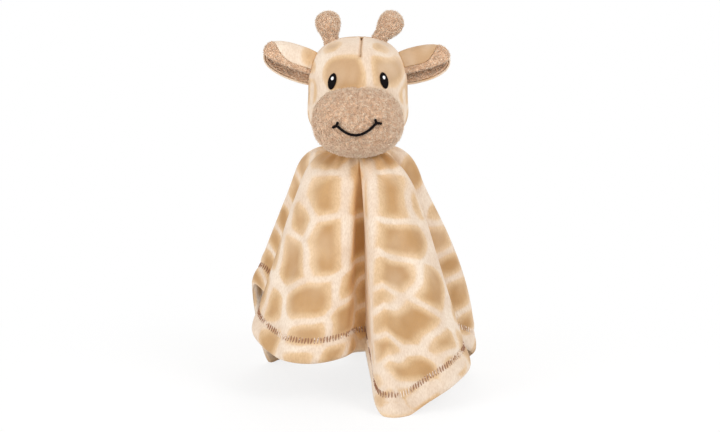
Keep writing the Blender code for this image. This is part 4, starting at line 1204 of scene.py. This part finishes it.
collar = gathered_collar()
print("collar from", round(min(vert.co.z for vert in collar.data.vertices) / MM, 1), "to",
      round(max(vert.co.z for vert in collar.data.vertices) / MM, 1), "mm up")

# %% [markdown]
# ## Stitches with Geometry Nodes
# All the sewing on the toy is the same thing many times over: a short thread that lies
# on the cloth and dips in at both ends. One Geometry Nodes tree lays such a thread on
# every point it is given. The points carry which way the thread runs, which way is out
# of the cloth and how long it is, so the same tree sews the hem, the neck, the eyes and
# the mouth.

# %% The stitch tree
def new_tree(name, numbers):
    """A tree that takes and gives geometry, with more inputs, and what those inputs give."""
    tree = bpy.data.node_groups.new(name, "GeometryNodeTree")
    tree.interface.new_socket("Geometry", in_out="OUTPUT", socket_type="NodeSocketGeometry")
    for label, kind, value in (("Geometry", "Geometry", None), *numbers, ("Material", "Material", None)):
        socket = tree.interface.new_socket(label, in_out="INPUT", socket_type="NodeSocket" + kind)
        if value is not None:
            socket.default_value = value
    return tree, tree.nodes.new("NodeGroupInput").outputs


def named_attribute(tree, name, kind):
    return add_node(tree, "GeometryNodeInputNamedAttribute", {"Name": name},
                    data_type=kind).outputs["Attribute"]


def aligned(tree, axis, vector, rotation=None, pivot="AUTO"):
    inputs = {"Vector": vector} if rotation is None else {"Vector": vector, "Rotation": rotation}
    return add_node(tree, "FunctionNodeAlignRotationToVector", inputs, axis=axis,
                    pivot_axis=pivot).outputs["Rotation"]


def finish_tree(tree, instances, material):
    """Realizes instances, sets the material and ends the tree."""
    geometry = instances
    for kind, more in (("GeometryNodeRealizeInstances", {}), ("GeometryNodeSetShadeSmooth", {}),
                       ("GeometryNodeSetMaterial", {"Material": material})):
        geometry = add_node(tree, kind, {"Geometry": geometry, **more}).outputs["Geometry"]
    add_node(tree, "NodeGroupOutput", {"Geometry": geometry})


def stitch_tree():
    tree, given = new_tree("laid_stitches", (("Thread Radius", "Float", 0.4 * MM), ("Sides", "Int", 8)))
    ball = add_node(tree, "GeometryNodeMeshUVSphere", {"Radius": 1, "Rings": 6, "Segments": given["Sides"]})
    size = add_node(tree, "ShaderNodeCombineXYZ", {
        "X": given["Thread Radius"], "Y": given["Thread Radius"],
        "Z": named_attribute(tree, "half_length", "FLOAT")})
    turned = aligned(tree, "Z", named_attribute(tree, "runs", "FLOAT_VECTOR"))
    turned = aligned(tree, "X", named_attribute(tree, "out", "FLOAT_VECTOR"), turned, "Z")
    points = add_node(tree, "GeometryNodeMeshToPoints", {"Mesh": given["Geometry"]})
    place = add_node(tree, "GeometryNodeInstanceOnPoints", {
        "Points": points.outputs["Points"], "Instance": ball.outputs["Mesh"], "Rotation": turned,
        "Scale": size.outputs["Vector"]})
    finish_tree(tree, place.outputs["Instances"], given["Material"])
    return tree


def set_input(modifier, name, value):
    """Sets a modifier's input by the identifier of the socket with that name."""
    for item in modifier.node_group.interface.items_tree:
        if item.name == name and item.in_out == "INPUT":
            modifier[item.identifier] = value


def sew(name, places, runs, outs, half_lengths, radius, material, sides=8):
    """A piece with one stitch at each place."""
    piece = new_piece(name, places, [])
    for label, kind, values in (("runs", "FLOAT_VECTOR", runs), ("out", "FLOAT_VECTOR", outs)):
        attribute = piece.data.attributes.new(label, kind, "POINT")
        attribute.data.foreach_set("vector", np.asarray(values, dtype=np.float32).ravel())
    attribute = piece.data.attributes.new("half_length", "FLOAT", "POINT")
    halves = np.broadcast_to(np.asarray(half_lengths, dtype=np.float32), len(places))
    attribute.data.foreach_set("value", halves)
    modifier = piece.modifiers.new("stitches", "NODES")
    modifier.node_group = laid_stitches
    set_input(modifier, "Thread Radius", radius)
    set_input(modifier, "Sides", sides)
    set_input(modifier, "Material", material)
    bake_modifiers(piece)
    print(name + ":", len(places), "stitches,", len(piece.data.polygons), "faces")
    return piece


laid_stitches = stitch_tree()

# %% The stitched band above the hem
BAND_MIDDLE, BAND_HALF, STITCH_PITCH = 19.5 * MM, 3.0 * MM, 2.6 * MM


def row_at(height):
    """Points of the velour's outer side at a distance above the hem, all round."""
    columns = np.arange(cloth.shape[1])
    rows = np.array([np.searchsorted(-above_hem[:, column], -height) for column in columns])
    outer = waved + cloth_out * cloth_height[..., None]
    return outer[rows, columns], cloth_out[rows, columns]


def sew_hem():
    low, out = row_at(BAND_MIDDLE - 2.4 * MM)
    high, _ = row_at(BAND_MIDDLE + 2.4 * MM)
    middle = (low + high) / 2
    steps = np.linalg.norm(np.diff(np.vstack([middle, middle[:1]]), axis=0), axis=1)
    run = np.concatenate([[0], np.cumsum(steps)])
    count = int(run[-1] / STITCH_PITCH)
    spots = np.arange(count) * run[-1] / count
    wrap = np.vstack([middle, middle[:1]])
    places = np.stack([np.interp(spots, run, wrap[:, axis]) for axis in range(3)], -1)
    across = high - low
    across /= np.linalg.norm(across, axis=1, keepdims=True)
    columns = np.searchsorted(run, spots, side="right") - 1
    along = np.roll(middle, -1, 0) - middle
    along /= np.linalg.norm(along, axis=1, keepdims=True)
    lean = np.where(np.arange(count) % 2 == 0, 0.09, -0.09)[:, None]
    runs = across[columns] + lean * along[columns]
    return sew("hem_stitches", places + np.array(axis_shift) + out[columns] * 0.1 * MM, runs, out[columns],
               BAND_HALF, 0.58 * MM, hem_thread)


hem_stitches = sew_hem()

# %% The ring of stitches round the neck
ring_angles = np.linspace(0, 2 * np.pi, 30, endpoint=False)
ring_out = np.stack([np.cos(ring_angles), np.sin(ring_angles), np.zeros(30)], -1)
ring_runs = np.stack([-np.sin(ring_angles), np.cos(ring_angles), np.full(30, 0.5)], -1)
ring_places = np.array([neck_seam.x, neck_seam.y, neck_seam.z + 0.3 * MM]) + ring_out * 17.6 * MM
neck_stitches = sew("neck_stitches", ring_places, ring_runs, ring_out, 1.6 * MM, 0.6 * MM, cream_thread)

# %% [markdown]
# ## The eyes and the mouth
# Both are sewn: an eye is a filled oval of level stitches with three white ones for its
# glint, and the mouth is a line of short slanted stitches with two more at each end.

# %% The eyes
EYE_HALF = (3.75 * MM, 6.5 * MM)
EYE_LEAN_DEG = 13
EYE_RIGHT = {"left": -21.0 * MM, "right": 21.4 * MM}
EYE_UP = {"left": 11.3 * MM, "right": 12.0 * MM}


def on_front(middle, half, above, fullness, right, up):
    """A place on a form's front, right of and above its middle, and outward there."""
    latitude = math.asin(up / above)
    for step in range(5):
        swell = 1 + fullness * math.sin(2 * latitude) ** 2
        latitude = math.asin(up / (above * swell))
    across = right / (half[0] * math.cos(latitude) * swell)
    fore = half[1] * math.cos(latitude) * swell * math.sqrt(1 - across * across)
    normal = Vector((right / half[0] ** 2, -fore / half[1] ** 2, up / above ** 2)).normalized()
    return middle + Vector((right, -fore, up)), normal


def on_face(right, up):
    return on_front(HEAD_MIDDLE, HEAD_HALF, HEAD_ABOVE, HEAD_FULLNESS[0], right, up)


def make_eye(side):
    lean = math.radians(-SIDES[side] * EYE_LEAN_DEG)
    level = Vector((math.cos(lean), 0, -math.sin(lean)))
    upright = Vector((math.sin(lean), 0, math.cos(lean)))
    middle = Vector((EYE_RIGHT[side], 0, EYE_UP[side]))
    places, runs, outs, halves = [], [], [], []
    for height in np.arange(-EYE_HALF[1] + 0.25 * MM, EYE_HALF[1], 0.42 * MM):
        spot = middle + upright * height
        place, normal = on_face(spot.x, spot.z)
        places.append(tuple(place + normal * 0.35 * MM))
        runs.append(tuple(level - normal * level.dot(normal)))
        outs.append(tuple(normal))
        halves.append(EYE_HALF[0] * math.sqrt(1 - (height / EYE_HALF[1]) ** 2) + 0.25 * MM)
    black = sew(f"eye_{side}", places, runs, outs, halves, 0.62 * MM, black_thread, 10)
    glints = []
    for shift, half in ((-0.55, 1.3), (0.0, 1.8), (0.55, 1.3)):
        spot = middle + upright * 2.4 * MM + level * shift * MM
        place, normal = on_face(spot.x, spot.z)
        glints.append((tuple(place + normal * 0.95 * MM), tuple(upright - normal * upright.dot(normal)),
                       tuple(normal), half * MM))
    white = sew(f"eye_{side}_glint", *zip(*glints), 0.5 * MM, white_thread)
    return black, white


eyes = {side: make_eye(side) for side in SIDES}

# %% The mouth
def on_muzzle(right, up):
    return on_front(MUZZLE_MIDDLE, MUZZLE_HALF, MUZZLE_UP, MUZZLE_FULLNESS[0], right, up)


def stitched_line(route, pitch):
    """Places, directions and outward directions of stitches along a route on the muzzle."""
    spots = [on_muzzle(right, up) for right, up in route]
    run = [0.0]
    for one, two in zip(spots, spots[1:]):
        run.append(run[-1] + (two[0] - one[0]).length)
    count = max(2, round(run[-1] / pitch))
    found = []
    for step in range(count):
        at = (step + 0.5) * run[-1] / count
        index = max(i for i, length in enumerate(run[:-1]) if length <= at)
        share = (at - run[index]) / (run[index + 1] - run[index])
        place = spots[index][0].lerp(spots[index + 1][0], share)
        normal = spots[index][1].lerp(spots[index + 1][1], share).normalized()
        along = (spots[index + 1][0] - spots[index][0]).normalized()
        slant = along.cross(normal) * 0.18
        found.append((tuple(place + normal * 0.9 * MM), tuple(along + slant), tuple(normal), pitch * 0.85))
    return found


smile = []
for share in np.linspace(-1, 1, 33):
    smile.append((-1.1 * MM + share * 15.75 * MM,
                  0.2 * MM + share * 0.95 * MM - 8.5 * MM * (1 - share * share)))
left_end, right_end = smile[0], smile[-1]
branches = [(left_end, (left_end[0] - 3.3 * MM, left_end[1] - 1.9 * MM)),
            (left_end, (left_end[0] + 0.9 * MM, left_end[1] + 2.6 * MM)),
            (right_end, (right_end[0] - 1.0 * MM, right_end[1] + 3.0 * MM)),
            (right_end, (right_end[0] + 4.2 * MM, right_end[1] - 0.6 * MM))]
mouth_stitches = stitched_line(smile, 1.3 * MM)
for one, two in branches:
    mouth_stitches += stitched_line([one, two], 1.3 * MM)
mouth = sew("mouth", *zip(*mouth_stitches), 1.25 * MM, black_thread)

# %% [markdown]
# ## Fleece pile
# Fleece has curly pile about 2 mm long, and it softens every outline. A second tree
# scatters thin three-sided strands over a surface, each leaning a little its own way,
# and gives each a random shade that the material reads. The seed is fixed, so every
# run grows the same pile.

# %% The pile tree
def pile_tree():
    tree, given = new_tree("fleece_pile", (
        ("Strands Per Square Metre", "Float", 2.0e6), ("Strand Length", "Float", 2 * MM),
        ("Strand Radius", "Float", 0.3 * MM), ("Lean", "Float", 0.7),
        ("Tufts Per Metre", "Float", 400.0), ("Seed", "Int", 1)))
    scatter = add_node(tree, "GeometryNodeDistributePointsOnFaces", {
        "Mesh": given["Geometry"], "Density": given["Strands Per Square Metre"], "Seed": given["Seed"],
        "Selection": named_attribute(tree, "pile_here", "BOOLEAN")})
    # Neighbouring strands lean one way, by a slow noise, and each a little its own way
    tuft = add_node(tree, "ShaderNodeTexNoise", {"Scale": given["Tufts Per Metre"], "Detail": 1.0})
    comb = add_node(tree, "ShaderNodeVectorMath", {
        0: tuft.outputs["Color"], 1: (7.0, 7.0, 7.0), 2: (-3.5, -3.5, -3.5)}, operation="MULTIPLY_ADD")
    wild = add_node(tree, "FunctionNodeRandomValue", {
        "Min": (-1, -1, -1), "Max": (1, 1, 1), "Seed": given["Seed"]}, data_type="FLOAT_VECTOR")
    spread = add_node(tree, "ShaderNodeVectorMath", {
        "Vector": wild.outputs["Value"], "Scale": given["Lean"]}, operation="SCALE")
    combed = add_node(tree, "ShaderNodeVectorMath", {
        0: comb.outputs["Vector"], 1: spread.outputs["Vector"]}, operation="ADD")
    lean = add_node(tree, "ShaderNodeVectorMath", {
        0: scatter.outputs["Normal"], 1: combed.outputs["Vector"]}, operation="ADD")
    strand = add_node(tree, "GeometryNodeMeshCone", {
        "Vertices": 3, "Side Segments": 1, "Depth": given["Strand Length"],
        "Radius Bottom": given["Strand Radius"]}, fill_type="NGON")
    size = add_node(tree, "FunctionNodeRandomValue", {2: 0.55, 3: 1.1}, data_type="FLOAT")
    place = add_node(tree, "GeometryNodeInstanceOnPoints", {
        "Points": scatter.outputs["Points"], "Instance": strand.outputs["Mesh"],
        "Rotation": aligned(tree, "Z", lean.outputs["Vector"]), "Scale": size.outputs[1]})
    # The shade is partly the tuft's and partly the strand's own
    tone = add_node(tree, "FunctionNodeRandomValue", {"Seed": 9}, data_type="FLOAT")
    clump = add_node(tree, "ShaderNodeMapRange", {
        "Value": tuft.outputs["Fac"], "From Min": 0.32, "From Max": 0.62})
    most = add_node(tree, "ShaderNodeMath", {0: clump.outputs["Result"], 1: 0.65}, operation="MULTIPLY")
    mixed = add_node(tree, "ShaderNodeMath", {
        0: tone.outputs[1], 1: 0.35, 2: most.outputs["Value"]}, operation="MULTIPLY_ADD")
    shade = add_node(tree, "GeometryNodeStoreNamedAttribute", {
        "Geometry": place.outputs["Instances"], "Name": "strand_shade",
        "Value": mixed.outputs["Value"]}, data_type="FLOAT", domain="INSTANCE")
    finish_tree(tree, shade.outputs["Geometry"], given["Material"])
    return tree


def pile_material(name, pale, deep):
    pile = Shading(name, 0.9, 0.1, FLEECE_SHEEN)
    pile.colour(pile.blend(pile.span(pile.attribute("strand_shade"), 0, 1, smooth=False), deep, pale))
    return pile.material


def grow_pile(name, ground, here, per_square_mm, length, radius, seed):
    """Fleece pile over the part of a ground piece where here(points, normals) is true."""
    mesh = ground.data.copy()
    points = np.array([vert.co for vert in mesh.vertices])
    normals = np.array([vert.normal for vert in mesh.vertices])
    attribute = mesh.attributes.new("pile_here", "BOOLEAN", "POINT")
    attribute.data.foreach_set("value", here(points, normals))
    piece = bpy.data.objects.new(name, mesh)
    bpy.context.scene.collection.objects.link(piece)
    modifier = piece.modifiers.new("pile", "NODES")
    modifier.node_group = fleece_pile
    for label, value in (("Strands Per Square Metre", per_square_mm * 1e6), ("Strand Length", length),
                         ("Strand Radius", radius), ("Seed", seed), ("Material", fleece_strands)):
        set_input(modifier, label, value)
    bake_modifiers(piece)
    print(name + ":", len(piece.data.polygons), "faces")
    return piece


fleece_pile = pile_tree()
fleece_strands = pile_material("fleece_strands", srgb(255, 240, 220), srgb(216, 178, 146))


def outside_head(points, normals):
    local = (points - np.array(HEAD_MIDDLE)) / np.array([HEAD_HALF[0], HEAD_HALF[1], HEAD_ABOVE])
    return np.linalg.norm(local, axis=1) > 1.02


def off_the_mouth(points, normals):
    """Where the muzzle's pile stands: in front of the head, and not under the mouth."""
    sewn = np.array([stitch[0] for stitch in mouth_stitches])
    gap = np.min(np.linalg.norm(points[:, None, :] - sewn[None, :, :], axis=2), axis=1)
    in_front = points[:, 1] < HEAD_MIDDLE.y - 16 * MM
    return outside_head(points, normals) & in_front & (gap > 1.5 * MM)


def faces_forward(points, normals):
    return normals[:, 1] < 0.35


muzzle_pile = grow_pile("muzzle_pile", muzzle, off_the_mouth, 2.8, 1.9 * MM, 0.30 * MM, 3)
ossicone_pile = {side: grow_pile(f"ossicone_{side}_pile", ossicones[side], outside_head, 3.4,
                                 1.7 * MM, 0.28 * MM, 5 + index) for index, side in enumerate(SIDES)}
ear_pile = {side: grow_pile(f"ear_{side}_pile", ears[side][1], faces_forward, 2.4,
                            1.5 * MM, 0.26 * MM, 8 + index) for index, side in enumerate(SIDES)}

# %% [markdown]
# ## Tying the pieces to the model
# Each piece is put on the body it moves with, and the model's solids that it stands for
# are hidden. The ears, the ossicones, their pile and the collar only have their transforms
# baked, and are put on no body.


def attach(piece, body, slot, *nodes, bend=None):
    """Puts a piece on a body and hides the solids it stands for. With a bend, it only bakes the piece's
    transform.
    """
    if bend is None:
        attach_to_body(piece, body)
    else:
        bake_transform(piece)
    if nodes:
        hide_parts(*nodes)
    return piece


attach(velour_layer, "blanket", "blanket_outer", "blanket_outer")
attach(lining_layer, "blanket", "blanket_lining", "blanket_lining")
attach(hem_stitches, "blanket", "hem_zigzag_stitch", "hem_zigzag_stitch")
attach(neck_stitches, "blanket", "neck_seam_thread", "neck_seam_thread")
attach(head_face, "head", "head_face_cover", "head_face_cover", "head_stuffing")
attach(head_back, "head", "head_back_cover", "head_back_cover", "neck_closing_patch")
attach(muzzle, "head", "muzzle_cover", "muzzle_cover", "muzzle_stuffing")
attach(muzzle_pile, "head", "muzzle_cover")
attach(mouth, "head", "mouth_embroidery", "mouth_embroidery")
for side in SIDES:
    attach(eyes[side][0], "head", f"eye_{side}_embroidery", f"eye_{side}_embroidery")
    attach(eyes[side][1], "head", f"eye_{side}_highlight", f"eye_{side}_highlight")
    ear_root, ear_along, ear_outward = ear_frame(side)
    ear_bend = (ear_root, ear_outward)
    attach(ears[side][0], f"ear_{side}", f"ear_{side}_outer", f"ear_{side}_outer", bend=ear_bend)
    attach(ears[side][1], f"ear_{side}", f"ear_{side}_lining", f"ear_{side}_lining", bend=ear_bend)
    attach(ear_pile[side], f"ear_{side}", f"ear_{side}_lining", bend=ear_bend)
    stalk_bend = (joints[f"ossicone_{side}_bend"]["pos_m"], stalk_direction(side))
    attach(ossicones[side], f"ossicone_{side}", f"ossicone_{side}_cover", f"ossicone_{side}_cover",
           f"ossicone_{side}_stuffing", bend=stalk_bend)
    attach(ossicone_pile[side], f"ossicone_{side}", f"ossicone_{side}_cover", bend=stalk_bend)
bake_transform(collar)
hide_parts("neck_gather")
